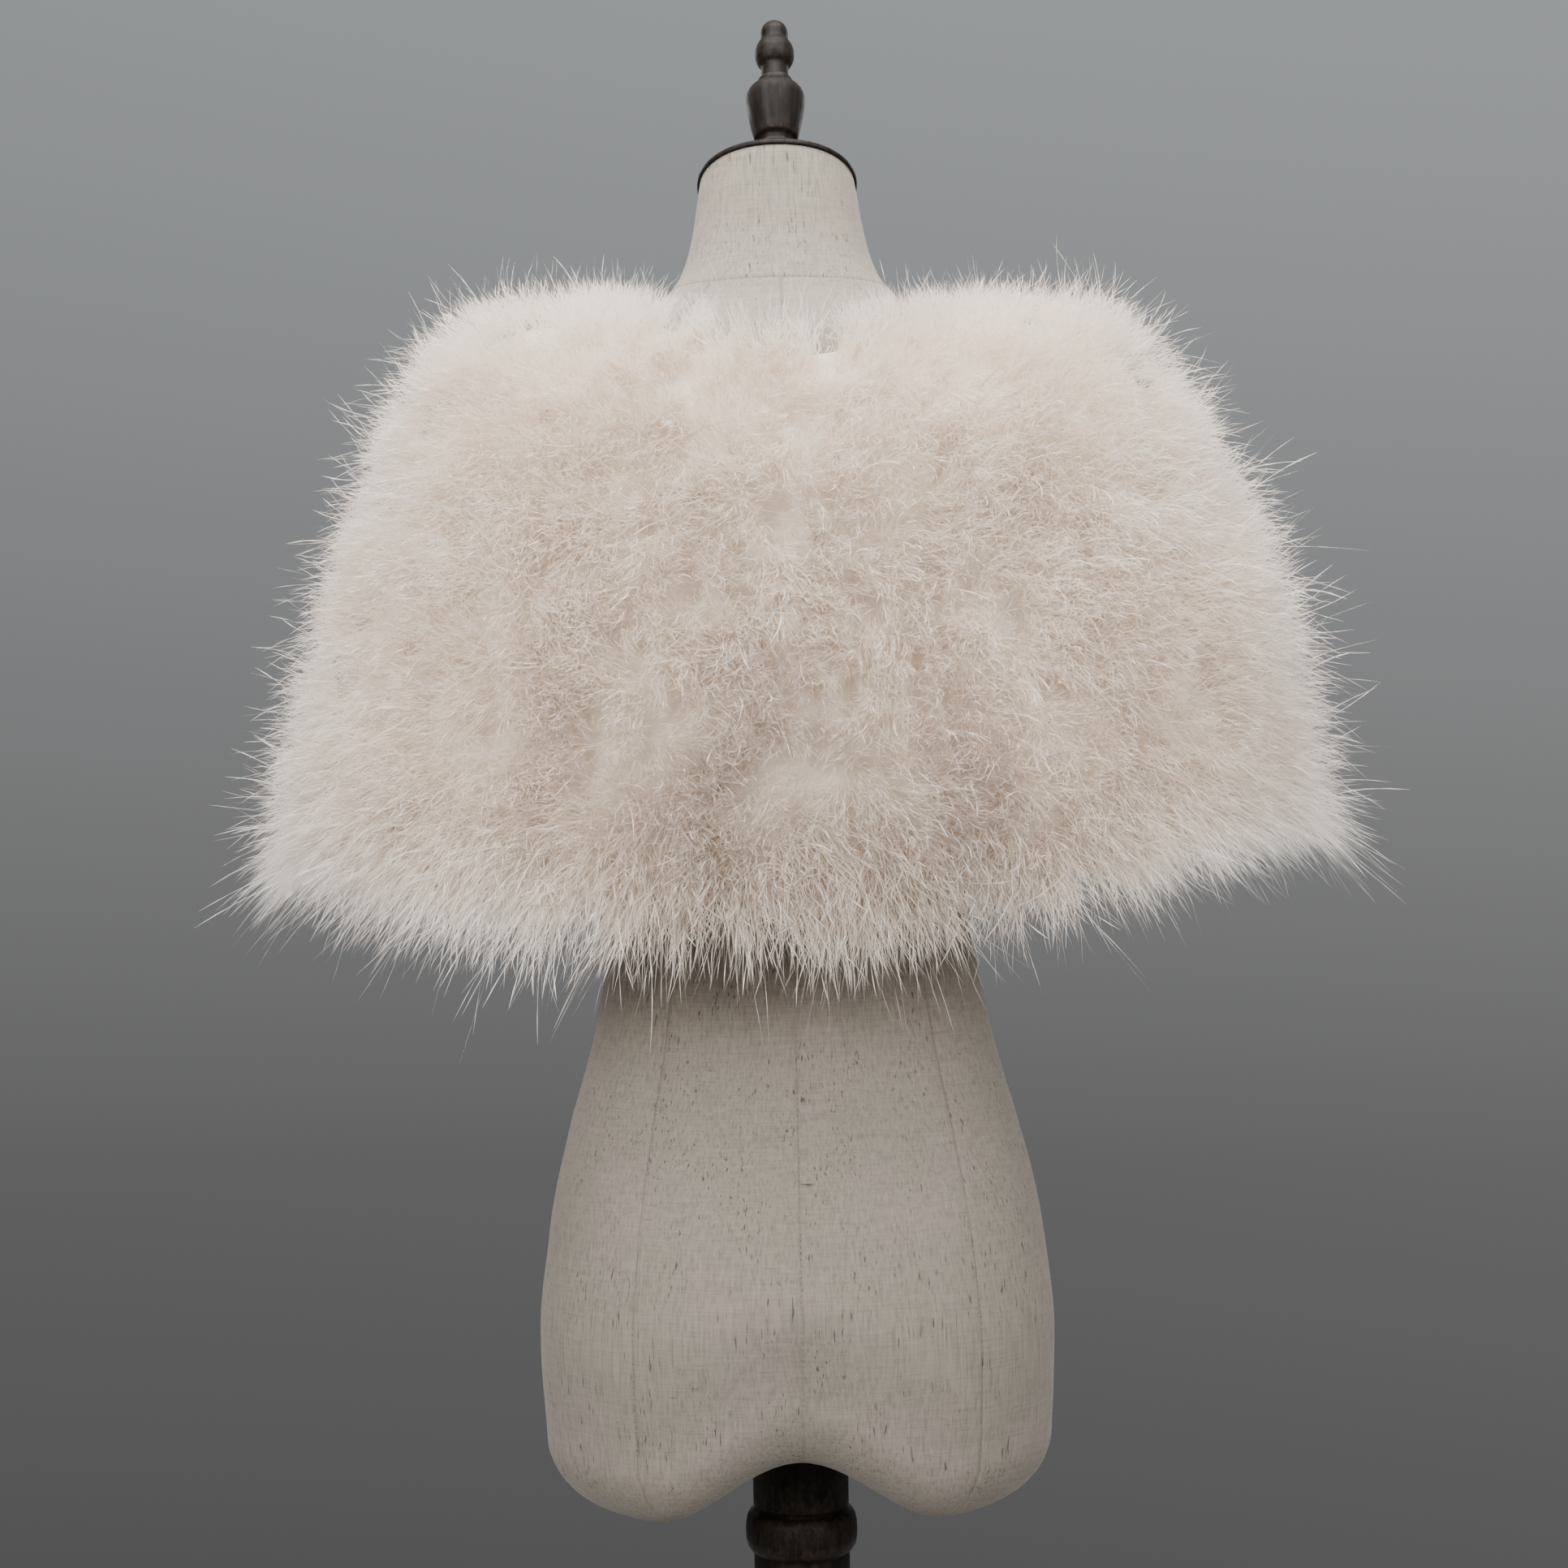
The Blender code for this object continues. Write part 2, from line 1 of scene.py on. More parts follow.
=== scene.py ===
"""The looks of a marabou feather capelet on a linen dress form with a turned wooden stand.

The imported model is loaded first, and each group of pieces is then made by an operator of its own. Sizes are
in metres with +Z up. The capelet's front faces -Y, and the camera looks at its back. Angles round the body
are in degrees from the centre back towards +X, and v runs down the ground cloth, from 0 at its neck edge to
1 at its hem.
"""

import math
from collections import namedtuple
from functools import lru_cache

import bpy
import numpy as np
from mathutils import Euler, Matrix, Vector


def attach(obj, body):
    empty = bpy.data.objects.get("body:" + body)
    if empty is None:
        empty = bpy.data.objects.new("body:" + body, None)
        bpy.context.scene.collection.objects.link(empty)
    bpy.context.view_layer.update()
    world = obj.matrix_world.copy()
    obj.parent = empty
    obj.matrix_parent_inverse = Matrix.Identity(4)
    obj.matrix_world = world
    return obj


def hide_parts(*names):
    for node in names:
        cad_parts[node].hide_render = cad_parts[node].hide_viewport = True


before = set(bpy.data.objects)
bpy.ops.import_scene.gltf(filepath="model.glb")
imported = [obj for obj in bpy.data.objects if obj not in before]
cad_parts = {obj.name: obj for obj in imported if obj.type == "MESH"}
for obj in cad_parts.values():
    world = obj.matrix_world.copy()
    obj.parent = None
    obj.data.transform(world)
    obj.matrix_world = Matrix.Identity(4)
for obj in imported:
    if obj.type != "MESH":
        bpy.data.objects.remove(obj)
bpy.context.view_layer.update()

bl_info = {
    "name": "Marabou capelet on a dress form",
    "version": (1, 0, 0),
    "blender": (4, 5, 0),
    "location": "View3D > Sidebar > Capelet",
    "description": "Makes the plumes, ground cloth, linen form and turned wood of a feather capelet's stand",
    "category": "Add Mesh",
}

BODY = "root"
BAKE_MAP = "OFBake"
MM = 0.001
UP = np.array([0.0, 0.0, 1.0])

FormSection = namedtuple("FormSection", "height half_width front back")
CapeRing = namedtuple("CapeRing", "wide_left wide_right back front z_back z_left z_right z_front")
Fold = namedtuple("Fold", "angle spread depth begins")
Barb = namedtuple("Barb", "v length lean droop curl")
Reach = namedtuple("Reach", "v reach")
Full = namedtuple("Full", "angle spread v depth share")
Panel = namedtuple("Panel", "name first last")
Cut = namedtuple("Cut", "flat area")
CapStep = namedtuple("CapStep", "inwards height")
Turned = namedtuple("Turned", "height radius")
Ripple = namedtuple("Ripple", "size wavelength seed")
Locks = namedtuple("Locks", "angle v off tilt length tint bend phase curl")


def table(row_type, *rows):
    """Rows of one kind from plain tuples."""
    return [row_type(*row) for row in rows]


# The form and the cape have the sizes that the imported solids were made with. Each section of the form has its
# height, half width, and how far it stands out in front and at the back
FORM_SECTIONS = table(
    FormSection,
    (0.700, 0.1570, -0.088, 0.112), (0.766, 0.1595, -0.096, 0.120), (0.828, 0.1530, -0.101, 0.113),
    (0.889, 0.1400, -0.098, 0.095), (0.950, 0.1240, -0.090, 0.078), (1.027, 0.1120, -0.082, 0.068),
    (1.090, 0.1190, -0.092, 0.077), (1.160, 0.1350, -0.112, 0.091), (1.225, 0.1480, -0.128, 0.100),
    (1.285, 0.1640, -0.108, 0.104), (1.325, 0.1780, -0.084, 0.100), (1.350, 0.1780, -0.066, 0.090),
    (1.366, 0.1600, -0.056, 0.080), (1.379, 0.1230, -0.049, 0.070), (1.391, 0.0920, -0.046, 0.060),
    (1.402, 0.0740, -0.045, 0.052), (1.418, 0.0620, -0.047, 0.046), (1.440, 0.0550, -0.051, 0.040),
    (1.476, 0.0490, -0.060, 0.036),
)
FORM_ROUNDNESS = 2.15
NECK_TILT = math.radians(19)
NECK_TILT_STARTS = 1.425
FORM_FOOT = 0.655
FOOT_ROUNDING_UP = 0.045
FOOT_ROUNDING_IN = 0.34
NOTCH_HEIGHT = 0.040
NOTCH_HALF_WIDTH = 0.092
NOTCH_TOP = 0.84
SOCKET_RADIUS = 0.0304
SOCKET_CEILING = 0.7223
# Heights of the cover's rings, as spans with their steps, and close rings round the neck seam
RING_SPANS = ((1.476, 1.412, -0.003), (1.4045, 1.345, -0.003), (1.338, 1.09, -0.010), (1.085, 0.702, -0.007))
RINGS_BY_SEAM = (-2.0, -1.0, -0.5, 0, 0.5, 1.0, 2.0)
FIELD_STEP = 1e-4
LONGEST_MOVE = 0.01

# Rings of the cape from its neck to its hem: half widths, how far back and forward, and heights at four sides
CAPE_RINGS = table(
    CapeRing,
    (0.098, 0.112, 0.094, -0.086, 1.352, 1.390, 1.385, 1.330),
    (0.135, 0.144, 0.104, -0.106, 1.325, 1.377, 1.375, 1.300),
    (0.166, 0.172, 0.109, -0.122, 1.295, 1.365, 1.369, 1.268),
    (0.191, 0.199, 0.113, -0.138, 1.262, 1.344, 1.353, 1.236),
    (0.213, 0.221, 0.117, -0.147, 1.225, 1.298, 1.306, 1.201),
    (0.237, 0.244, 0.123, -0.155, 1.178, 1.236, 1.244, 1.158),
    (0.260, 0.268, 0.131, -0.163, 1.124, 1.172, 1.184, 1.110),
    (0.284, 0.294, 0.140, -0.171, 1.073, 1.108, 1.122, 1.066),
    (0.299, 0.313, 0.147, -0.176, 1.032, 1.062, 1.078, 1.034),
)
# Where the shoulder line is, the cloth's thickness, its gap to the form, and the v over which it comes loose
SHOULDER_LINE = 0.012
CLOTH = 0.0016
FORM_CLEARANCE = 0.0024
LAID_TO = 0.05
LOOSE_FROM = 0.42
FRONT_GAP_NECK = 0.007
FRONT_GAP_HEM = 0.040
PANEL_SEAM = 0.15 * MM
# Folds of the cloth: angle, spread of the angle, depth, and the v at which each begins
FOLDS = table(
    Fold,
    (10, 6.0, 0.010, 0.45), (31, 7.0, 0.007, 0.35), (55, 8.0, 0.009, 0.50), (79, 7.0, 0.006, 0.55),
    (104, 8.0, 0.009, 0.45), (128, 7.0, 0.008, 0.50), (151, 7.0, 0.007, 0.40), (-21, 6.5, 0.011, 0.40),
    (-44, 7.5, 0.007, 0.55), (-67, 8.0, 0.010, 0.45), (-92, 7.5, 0.007, 0.50), (-117, 8.0, 0.009, 0.42),
    (-143, 7.0, 0.007, 0.52),
)
# Flat sizes of the cuts, width and length, and the area of each, worked out from the draped panels
CUTS = table(Cut, ((0.705, 0.410), 0.200), ((0.365, 0.405), 0.105), ((0.375, 0.390), 0.106))
# Marks on the linen: middle, half size, colour and strength
MARKS = (
    ((-0.0070, 0.113, 0.8645), (0.0065, 0.02, 0.0007), (0.03, 0.03, 0.04), 0.75),
    ((-0.0080, 0.113, 0.8640), (0.0030, 0.02, 0.0013), (0.06, 0.06, 0.07), 0.6),
    ((-0.0330, 0.113, 0.8740), (0.0020, 0.02, 0.0040), (0.40, 0.20, 0.16), 0.55),
)
PANELS = table(Panel, ("back", -90.0, 90.0), ("left_front", 90.0, 180.0), ("right_front", -180.0, -90.0))

# Seams of the linen, as angles round its level sections from +X, and the mesh's columns between two seams
SEAM_TURNS = (0.0, 53.7, 90.6, 131.5, 180.0, 232.0, 270.0, 308.0)
SEAM_SHARES = (0.0, 0.0045, 0.011, 0.04, 0.12, 0.22, 0.33, 0.44, 0.56, 0.67, 0.78, 0.88, 0.96, 0.989, 0.9955)
NECK_SEAM = 1.409
SEAM_DEPTH = 0.45 * MM
SEAM_REACH = 0.65 * MM
STITCH_RADIUS = 0.22 * MM
STITCH_GAP = 0.9 * MM
# The hollow above the notch, and how uneven the stretched cover is
HOLLOW_DEPTH = 2.5 * MM
HOLLOW_HALF_WIDTH = 0.035
HOLLOW_TOP = 0.82
HOLLOW_RUN = 0.12
COVER_RIPPLES = table(Ripple, (0.35 * MM, 0.11, 31), (0.12 * MM, 0.035, 32))

# Turned wood: shares inwards and heights of the neck cap, then heights and radii of the finial on its foot
CAP_OVERHANG = 1.2 * MM
CAP_SEAT_RADIUS = 0.015
CAP_STEPS = 112
CAP_ROWS = 46
CAP_PROFILE = table(
    CapStep,
    (0.000, 0.0003), (-0.010, 0.0010), (-0.012, 0.0021), (-0.002, 0.0030), (0.018, 0.0032),
    (0.032, 0.0042), (0.200, 0.0071), (0.450, 0.0123), (0.720, 0.0180), (1.000, 0.0215),
)
FINIAL_PROFILE = table(
    Turned,
    (-0.0090, 0.0122), (-0.0084, 0.0132), (-0.0070, 0.0138), (-0.0056, 0.0134), (-0.0046, 0.0121),
    (-0.0040, 0.0112), (-0.0026, 0.0111), (-0.0016, 0.0118), (-0.0002, 0.0122), (0.0012, 0.0118),
    (0.0020, 0.0110), (0.0034, 0.0109), (0.0048, 0.0115), (0.0058, 0.0127), (0.0068, 0.0139),
    (0.0134, 0.0158), (0.0235, 0.0177), (0.0320, 0.0188), (0.0350, 0.0190), (0.0380, 0.0185),
    (0.0402, 0.0175), (0.0425, 0.0157), (0.0442, 0.0139), (0.0452, 0.0124), (0.0460, 0.0116),
    (0.0485, 0.0113), (0.0500, 0.0102), (0.0510, 0.0090), (0.0586, 0.0086), (0.0600, 0.0092),
    (0.0620, 0.0108), (0.0660, 0.0125), (0.0700, 0.0128), (0.0745, 0.0118), (0.0785, 0.0096),
    (0.0805, 0.0089), (0.0850, 0.0090), (0.0895, 0.0076), (0.0925, 0.0043), (0.0935, 0.0012),
)
POLE_RADIUS = 0.030
POLE_PROFILE = table(
    Turned,
    (0.0303, 0.0380), (0.0308, 0.0398), (0.0360, 0.0422), (0.0403, 0.0430), (0.0450, 0.0424),
    (0.0500, 0.0406), (0.0535, 0.0385), (0.0545, 0.0350), (0.0575, 0.0337), (0.0640, 0.0314),
    (0.0703, 0.0300), (0.2000, 0.0300), (0.4500, 0.0300), (0.6175, 0.0300), (0.6188, 0.0293),
    (0.6200, 0.0300), (0.6212, 0.0322), (0.6245, 0.0341), (0.6290, 0.0349), (0.6330, 0.0350),
    (0.6375, 0.0348), (0.6420, 0.0339), (0.6448, 0.0322), (0.6458, 0.0300), (0.6468, 0.0289),
    (0.6485, 0.0289), (0.6495, 0.0299), (0.6800, 0.0300), (0.7205, 0.0300), (0.7220, 0.0288),
)
BASE_PROFILE = table(
    Turned,
    (0.0000, 0.1845), (0.0004, 0.1860), (0.0020, 0.1885), (0.0040, 0.1898), (0.0080, 0.1900),
    (0.0120, 0.1898), (0.0150, 0.1886), (0.0175, 0.1862), (0.0192, 0.1825), (0.0200, 0.1785),
    (0.0203, 0.1752), (0.0212, 0.1738), (0.0238, 0.1662), (0.0262, 0.1350), (0.0284, 0.0950),
    (0.0297, 0.0640), (0.0300, 0.0560),
)

# Barbs by v: length, lean along the cloth to the hem, droop under their own weight, and curl at the centre
BARBS = table(
    Barb,
    (0.00, 0.025, -1.10, 0.00, 0.3),
    (0.06, 0.030, -0.45, 0.05, 0.5),
    (0.15, 0.035, -0.10, 0.10, 0.9),
    (0.28, 0.046, 0.05, 0.12, 1.0),
    (0.50, 0.048, 0.15, 0.20, 1.0),
    (0.80, 0.048, 0.30, 0.30, 0.8),
    (0.92, 0.053, 0.70, 0.40, 0.4),
    (1.00, 0.067, 1.40, 0.45, 0.2),
)
REACHES = table(Reach, (0.00, 0.013), (0.10, 0.022), (0.28, 0.042), (0.45, 0.045), (1.00, 0.041))
# Where the plumes stand out further: angle, spread of the angle, v, spread of v, and by what share
FULLNESS = table(
    Full,
    (82, 42, 0.50, 0.38, 0.11),
    (-80, 28, 0.72, 0.22, 0.42),
    (-60, 27, 1.00, 0.22, -0.44),
    (0, 42, 0.00, 0.09, 0.72),
    (80, 30, 1.00, 0.18, -0.14),
)
# The longest barbs end at these sides, corner by corner
PLUME_LIMITS = ((-0.378, -0.234, 0.900), (0.368, 0.208, 1.500))
DOWN_SHARE = 0.26
ROOT_SHARE = 0.46
LOCKS_PER_TUFT = 16
BARBS_PER_LOCK = 9
POINTS_PER_BARB = 7
PLUME_PIECES = (
    ("marabou_back_middle", -30.0, 30.0, "back"),
    ("marabou_back_left", 30.0, 90.0, "back"),
    ("marabou_back_right", -90.0, -30.0, "back"),
    ("marabou_left_front", 90.0, 180.0, "left_front"),
    ("marabou_right_front", -180.0, -90.0, "right_front"),
)
# The middle of the back is more tousled, over these angles for tufts and for single barbs
CENTRE_SPREAD = 42
MIDDLE_SPREAD = 62
# Tufts crowd towards the hem from this v on, and barbs change there
CROWDED_FROM = 0.7
CROWDING = 1.4
HEM_FROM = 0.72
# Spreads of the random draws for tilts, bends and turns, and the swirl that neighbouring tufts share
SWIRL = (Ripple(0.22, 0.09, 11), Ripple(0.22, 0.09, 12))
TUFT_TILT = 0.26
LOCK_TILT = 0.18
LOCK_SPLAY = 0.38
LOCK_BEND = 0.45
BARB_BEND = 0.32
BARB_TURN = 0.5
CURL_TURN = 4.2
CURL_SIZE = 1.3
FLYAWAYS = 0.15
FRONT_LEAN = 0.7
FRONT_ZONE = 0.03
NECK_ZONE = 0.16
# Tints: the middle value; the painted light that the sides and the neck and hem edges add; the painted shade
# that the low middle, the folds and the middle take, the low middle also being a more beige tone; and random
# spreads
BASE_TINT = 0.54
SIDE_PAINTED_LIGHT = 0.12
EDGE_PAINTED_LIGHT = 0.18
LOW_SHADE_AND_TINT = -0.56
FOLD_PAINTED_SHADE = -14.0
MIDDLE_PAINTED_SHADE = -0.08
TINT_RIPPLE = Ripple(0.11, 0.11, 13)
TUFT_TINT = 0.06
LOCK_TINT = 0.07
BARB_TINT = 0.05
DOWN_RIPPLES = table(Ripple, (0.03, 0.024, 21), (0.015, 0.010, 22))
PLASTIC_NUMBER = 1.32471795724
# The share of light that goes through the barbs, and the warmer tone of the down against the deep colour,
# painted shade of the pile's depth
LIGHT_THROUGH = 0.45
DOWN_SHADE_TONE = (1.0, 0.96, 0.91)
FLOOR_RADII = (0.02, 0.6, 1.2, 1.75)
FLOOR_GREY = (0.40, 0.40, 0.39, 1.0)
# The background from low to high: places along the view's rise, and their greys
BACKGROUND = (
    (0.0, (0.094, 0.094, 0.095)),
    (0.25, (0.124, 0.124, 0.125)),
    (0.5, (0.195, 0.197, 0.199)),
    (1.0, (0.325, 0.342, 0.35)),
)
VIEW_EDGE = 0.294


def length_setting(name, description, default):
    return bpy.props.FloatProperty(
        name=name, description=description, default=default, subtype="DISTANCE", unit="LENGTH"
    )


def angle_setting(name, description, degrees):
    return bpy.props.FloatProperty(
        name=name, description=description, default=math.radians(degrees), subtype="ANGLE", unit="ROTATION"
    )


def colour_setting(name, description, default):
    return bpy.props.FloatVectorProperty(
        name=name, description=description, default=default, size=3, subtype="COLOR"
    )


def power_setting(name, description, default):
    return bpy.props.FloatProperty(name=name, description=description, default=default, unit="POWER")


class PlumeSettings(bpy.types.PropertyGroup):
    """Sizes and colours of the marabou plumes."""

    barbs: bpy.props.IntProperty(
        name="Barbs", description="Barbs on one piece of plumes", default=34000, min=1000, max=39000
    )
    width: length_setting("Barb width", "Width of a barb at its root", 0.00042)
    tuft_radius: length_setting("Tuft radius", "Radius of one plume's tuft", 0.012)
    lock_radius: length_setting("Lock radius", "Radius of one lock of barbs", 0.003)
    twist: bpy.props.FloatProperty(
        name="Twist", description="How unevenly the barbs turn their flat faces outwards", default=0.5
    )
    knit: colour_setting("Ground cloth", "Colour of the knit ground cloth", (0.62, 0.55, 0.49))
    seed: bpy.props.IntProperty(name="Seed", description="Start of the random draws", default=7)
    tip: colour_setting("Tip colour", "Ivory at the ends of the barbs", (0.985, 0.920, 0.854))
    # The deep colour is partly the barbs' own beige and partly painted shade: it is mixed in toward the roots,
    # in the down and at low tints.
    deep: colour_setting("Deep colour", "Beige deep in the pile", (0.965, 0.865, 0.765))


class FormSettings(bpy.types.PropertyGroup):
    """Sizes and colours of the linen form and the wood of its stand."""

    linen: colour_setting("Linen", "Colour of the linen", (0.288, 0.251, 0.208))
    slub: colour_setting("Slub", "Colour of the darker threads", (0.18, 0.156, 0.128))
    stitch: length_setting("Stitch", "Length of one stitch", 0.0026)
    wood: colour_setting("Wood", "Colour of the stained wood", (0.0066, 0.0048, 0.0032))
    worn: colour_setting("Worn wood", "Colour of the wood at worn edges", (0.034, 0.0245, 0.0175))


class StageSettings(bpy.types.PropertyGroup):
    """Camera, light and background."""

    distance: length_setting("Camera distance", "Camera to the stand's axis", 1.6)
    height: length_setting("Camera height", "Camera above the floor", 1.10)
    half_angle: angle_setting("Half angle", "Half the camera's field of view", 17.1)
    roll: angle_setting("Roll", "Tilt of the camera to its right", 1.05)
    overhead: power_setting("Overhead light", "Power of the light above", 50.0)
    behind: power_setting("Back lights", "Power of each light behind the capelet", 8.2)
    before: power_setting("Front lights", "Power of each light before its front", 17.0)


def smooth_through(stations, values, at):
    """A curve through the stations that never overshoots: cubic pieces whose slopes are harmonic means."""
    stations = np.asarray(stations, float)
    values = np.asarray(values, float)
    step = np.diff(stations)
    slope = np.diff(values) / step
    total = slope[:-1] + slope[1:]
    product = slope[:-1] * slope[1:]
    inner = np.where(product > 0, 2 * product / np.where(total == 0, 1, total), 0)
    tangent = np.concatenate([[slope[0]], inner, [slope[-1]]])
    at = np.asarray(at, float)
    k = np.clip(np.searchsorted(stations, at) - 1, 0, len(step) - 1)
    t = (at - stations[k]) / step[k]
    inside = (
        (2 * t**3 - 3 * t**2 + 1) * values[k]
        + (t**3 - 2 * t**2 + t) * step[k] * tangent[k]
        + (3 * t**2 - 2 * t**3) * values[k + 1]
        + (t**3 - t**2) * step[k] * tangent[k + 1]
    )
    before = values[0] + (at - stations[0]) * tangent[0]
    after = values[-1] + (at - stations[-1]) * tangent[-1]
    return np.where(at < stations[0], before, np.where(at > stations[-1], after, inside))


def read(rows, key, value, at):
    """The named value of a table's rows at a place along the named key, on a smooth curve."""
    return smooth_through([getattr(row, key) for row in rows], [getattr(row, value) for row in rows], at)


def ease(x):
    """A share from 0 to 1 that starts and ends slowly: three squares less two cubes."""
    x = np.clip(x, 0, 1)
    return x * x * (3 - 2 * x)


def bell(x):
    """A bell curve: e to the power of minus the square."""
    return np.exp(-(x**2))


def unit(vectors):
    return vectors / np.maximum(np.linalg.norm(vectors, axis=-1, keepdims=True), 1e-12)


def rippled(points, ripple):
    """Smooth noise of about the ripple's size: a sum of plane waves with seeded directions and phases."""
    rng = np.random.default_rng(ripple.seed)
    way = unit(rng.normal(size=(9, 3))) * (2 * math.pi / ripple.wavelength) * rng.uniform(0.7, 1.4, (9, 1))
    phase = rng.uniform(0, 2 * math.pi, 9)
    return ripple.size * np.sin(points @ way.T + phase).sum(-1) / 3.0


def form_section(height):
    """Half width, middle and half depth of the form at each height."""
    height = np.clip(height, FORM_SECTIONS[0].height, FORM_SECTIONS[-1].height)
    names = ("half_width", "front", "back")
    wide, front, back = (read(FORM_SECTIONS, "height", name, height) for name in names)
    return wide, (front + back) / 2, (back - front) / 2


def form_distance(points):
    """About how far each point is from the form's surface, and the way straight out of it.

    The field is a rounded oval's size less 1: the root of the summed powers of both shares. Its slope comes
    from steps to both sides, and the distance is the field over the slope.
    """

    def field(p):
        wide, middle, deep = form_section(p[..., 2])
        power = FORM_ROUNDNESS
        oval = np.abs(p[..., 0] / wide) ** power + np.abs((p[..., 1] - middle) / deep) ** power
        return np.maximum(oval, 1e-9) ** (1 / power) - 1

    steps = FIELD_STEP * np.eye(3)
    slope = np.stack([(field(points + step) - field(points - step)) / (2 * FIELD_STEP) for step in steps], -1)
    steep = np.linalg.norm(slope, axis=-1)
    return field(points) / steep, slope / steep[..., None]


def off_the_form(points, clearance, drawn_in=False, rounds=8):
    """Points moved out until they clear the form, or also drawn in until they lie at that clearance."""
    for _ in range(rounds):
        distance, outward = form_distance(points)
        short = clearance - distance
        move = short if drawn_in else np.maximum(short, 0)
        points = points + np.clip(move, -LONGEST_MOVE, LONGEST_MOVE)[..., None] * outward
    return points


def ring_values(name, v):
    """The named size of the cape's rings at v, whose rings are spaced evenly."""
    stations = np.linspace(0, 1, len(CAPE_RINGS))
    return smooth_through(stations, [getattr(ring, name) for ring in CAPE_RINGS], v)


def fold_depth(angle, v):
    """How far the folds draw the cloth in: each a bell curve over the angle, eased in down the cloth."""
    drawn = np.zeros(np.broadcast(angle, v).shape)
    for fold in FOLDS:
        off = (angle - fold.angle + 180) % 360 - 180
        reached = ease((v - fold.begins) / (1 - fold.begins))
        drawn = drawn + fold.depth * bell(off / fold.spread) * reached
    return drawn


def cape_surface(angle, v):
    """The cloth's inner face: half-ovals round the shoulder line, drawn in by folds and laid on the form."""
    turn = np.radians(angle)
    side, away = np.sin(turn), np.cos(turn)
    left = side > 0
    wide = np.where(left, ring_values("wide_left", v), ring_values("wide_right", v))
    back, front = ring_values("back", v), ring_values("front", v)
    deep = np.where(away > 0, back - SHOULDER_LINE, SHOULDER_LINE - front)
    z_side = np.where(left, ring_values("z_left", v), ring_values("z_right", v))
    z_end = np.where(away > 0, ring_values("z_back", v), ring_values("z_front", v))
    drawn = 1 - fold_depth(angle, v) / np.hypot(wide * side, deep * away)
    x = wide * side * drawn
    y = SHOULDER_LINE + deep * away * drawn
    z = z_side + (z_end - z_side) * away**2
    points = np.stack([x, y, z], -1)
    laid = 1 - ease((v - LAID_TO) / (LOOSE_FROM - LAID_TO))
    on_form = off_the_form(points, FORM_CLEARANCE, drawn_in=True)
    return off_the_form(points + (on_form - points) * laid[..., None], FORM_CLEARANCE)


class Cloth:
    """The ground cloth on a regular grid of angle and v, to be read between its points."""

    def __init__(self, columns=361, rows=61):
        self.angles = np.linspace(-180, 180, columns)
        self.levels = np.linspace(0, 1, rows)
        angle, v = np.meshgrid(self.angles, self.levels)
        self.points = cape_surface(angle, v)
        down = np.gradient(self.points, self.levels, axis=0)
        along = np.gradient(self.points, self.angles, axis=1)
        self.normals = unit(np.cross(along, down))
        self.speed_down = np.linalg.norm(down, axis=-1)
        self.speed_along = np.linalg.norm(along, axis=-1)
        self.down = unit(down)
        self.along = unit(np.cross(self.normals, self.down))

    def read(self, name, angle, v):
        """The named grid at each angle and v, weighted between the four nearest grid points."""
        grid = getattr(self, name)
        across = (np.asarray(angle) + 180) / 360 * (len(self.angles) - 1)
        level = np.asarray(v) * (len(self.levels) - 1)
        column = np.clip(np.floor(across).astype(int), 0, len(self.angles) - 2)
        row = np.clip(np.floor(level).astype(int), 0, len(self.levels) - 2)
        s, t = across - column, level - row
        if grid.ndim == 3:
            s, t = s[..., None], t[..., None]
        above = grid[row, column] * (1 - s) + grid[row, column + 1] * s
        below = grid[row + 1, column] * (1 - s) + grid[row + 1, column + 1] * s
        return above * (1 - t) + below * t


@lru_cache(maxsize=1)
def draped_cloth():
    """The cloth, worked out once for the operators that read it."""
    return Cloth()


def front_edge(v):
    """How many degrees the fronts stop short of the centre front at v."""
    gap = FRONT_GAP_NECK + (FRONT_GAP_HEM - FRONT_GAP_NECK) * np.clip(v, 0, 1)
    return np.degrees(gap / 2 / ring_values("wide_left", np.clip(v, 0, 1)))


def panel_grid(panel, columns, rows):
    """Angle and v of each point of a grid over a panel, clear of its seams and of the front gap."""
    v = np.linspace(0, 1, rows)
    seam = np.degrees(PANEL_SEAM / ring_values("wide_left", v))
    low = panel.first + np.where(panel.first == -180, front_edge(v), seam)
    high = panel.last - np.where(panel.last == 180, front_edge(v), seam)
    angle = low[:, None] + (high - low)[:, None] * np.linspace(0, 1, columns)
    return angle, np.broadcast_to(v[:, None], angle.shape)


def build_mesh(name, points, *faces, smooth=True):
    """An object from an array of points and arrays of faces. The faces of one array have as many corners."""
    data = bpy.data.meshes.new(name)
    points = np.ascontiguousarray(points, np.float32).reshape(-1, 3)
    corners = np.concatenate([part.reshape(-1) for part in faces]).astype(np.int32)
    sizes = np.concatenate([np.full(len(part), part.shape[1]) for part in faces])
    data.vertices.add(len(points))
    data.vertices.foreach_set("co", points.ravel())
    data.loops.add(len(corners))
    data.loops.foreach_set("vertex_index", corners)
    data.polygons.add(len(sizes))
    data.polygons.foreach_set("loop_start", (np.cumsum(sizes) - sizes).astype(np.int32))
    data.update()
    if smooth:
        data.shade_smooth()
    else:
        data.shade_flat()
    made = bpy.data.objects.new(name, data)
    bpy.context.scene.collection.objects.link(made)
    return made


def set_uv(obj, name, uv):
    """A UV map from one pair of values for each point of the mesh."""
    data = obj.data
    corners = np.empty(len(data.loops), np.int32)
    data.loops.foreach_get("vertex_index", corners)
    layer = data.uv_layers.new(name=name)
    layer.data.foreach_set("uv", np.asarray(uv, np.float32).reshape(-1, 2)[corners].ravel())


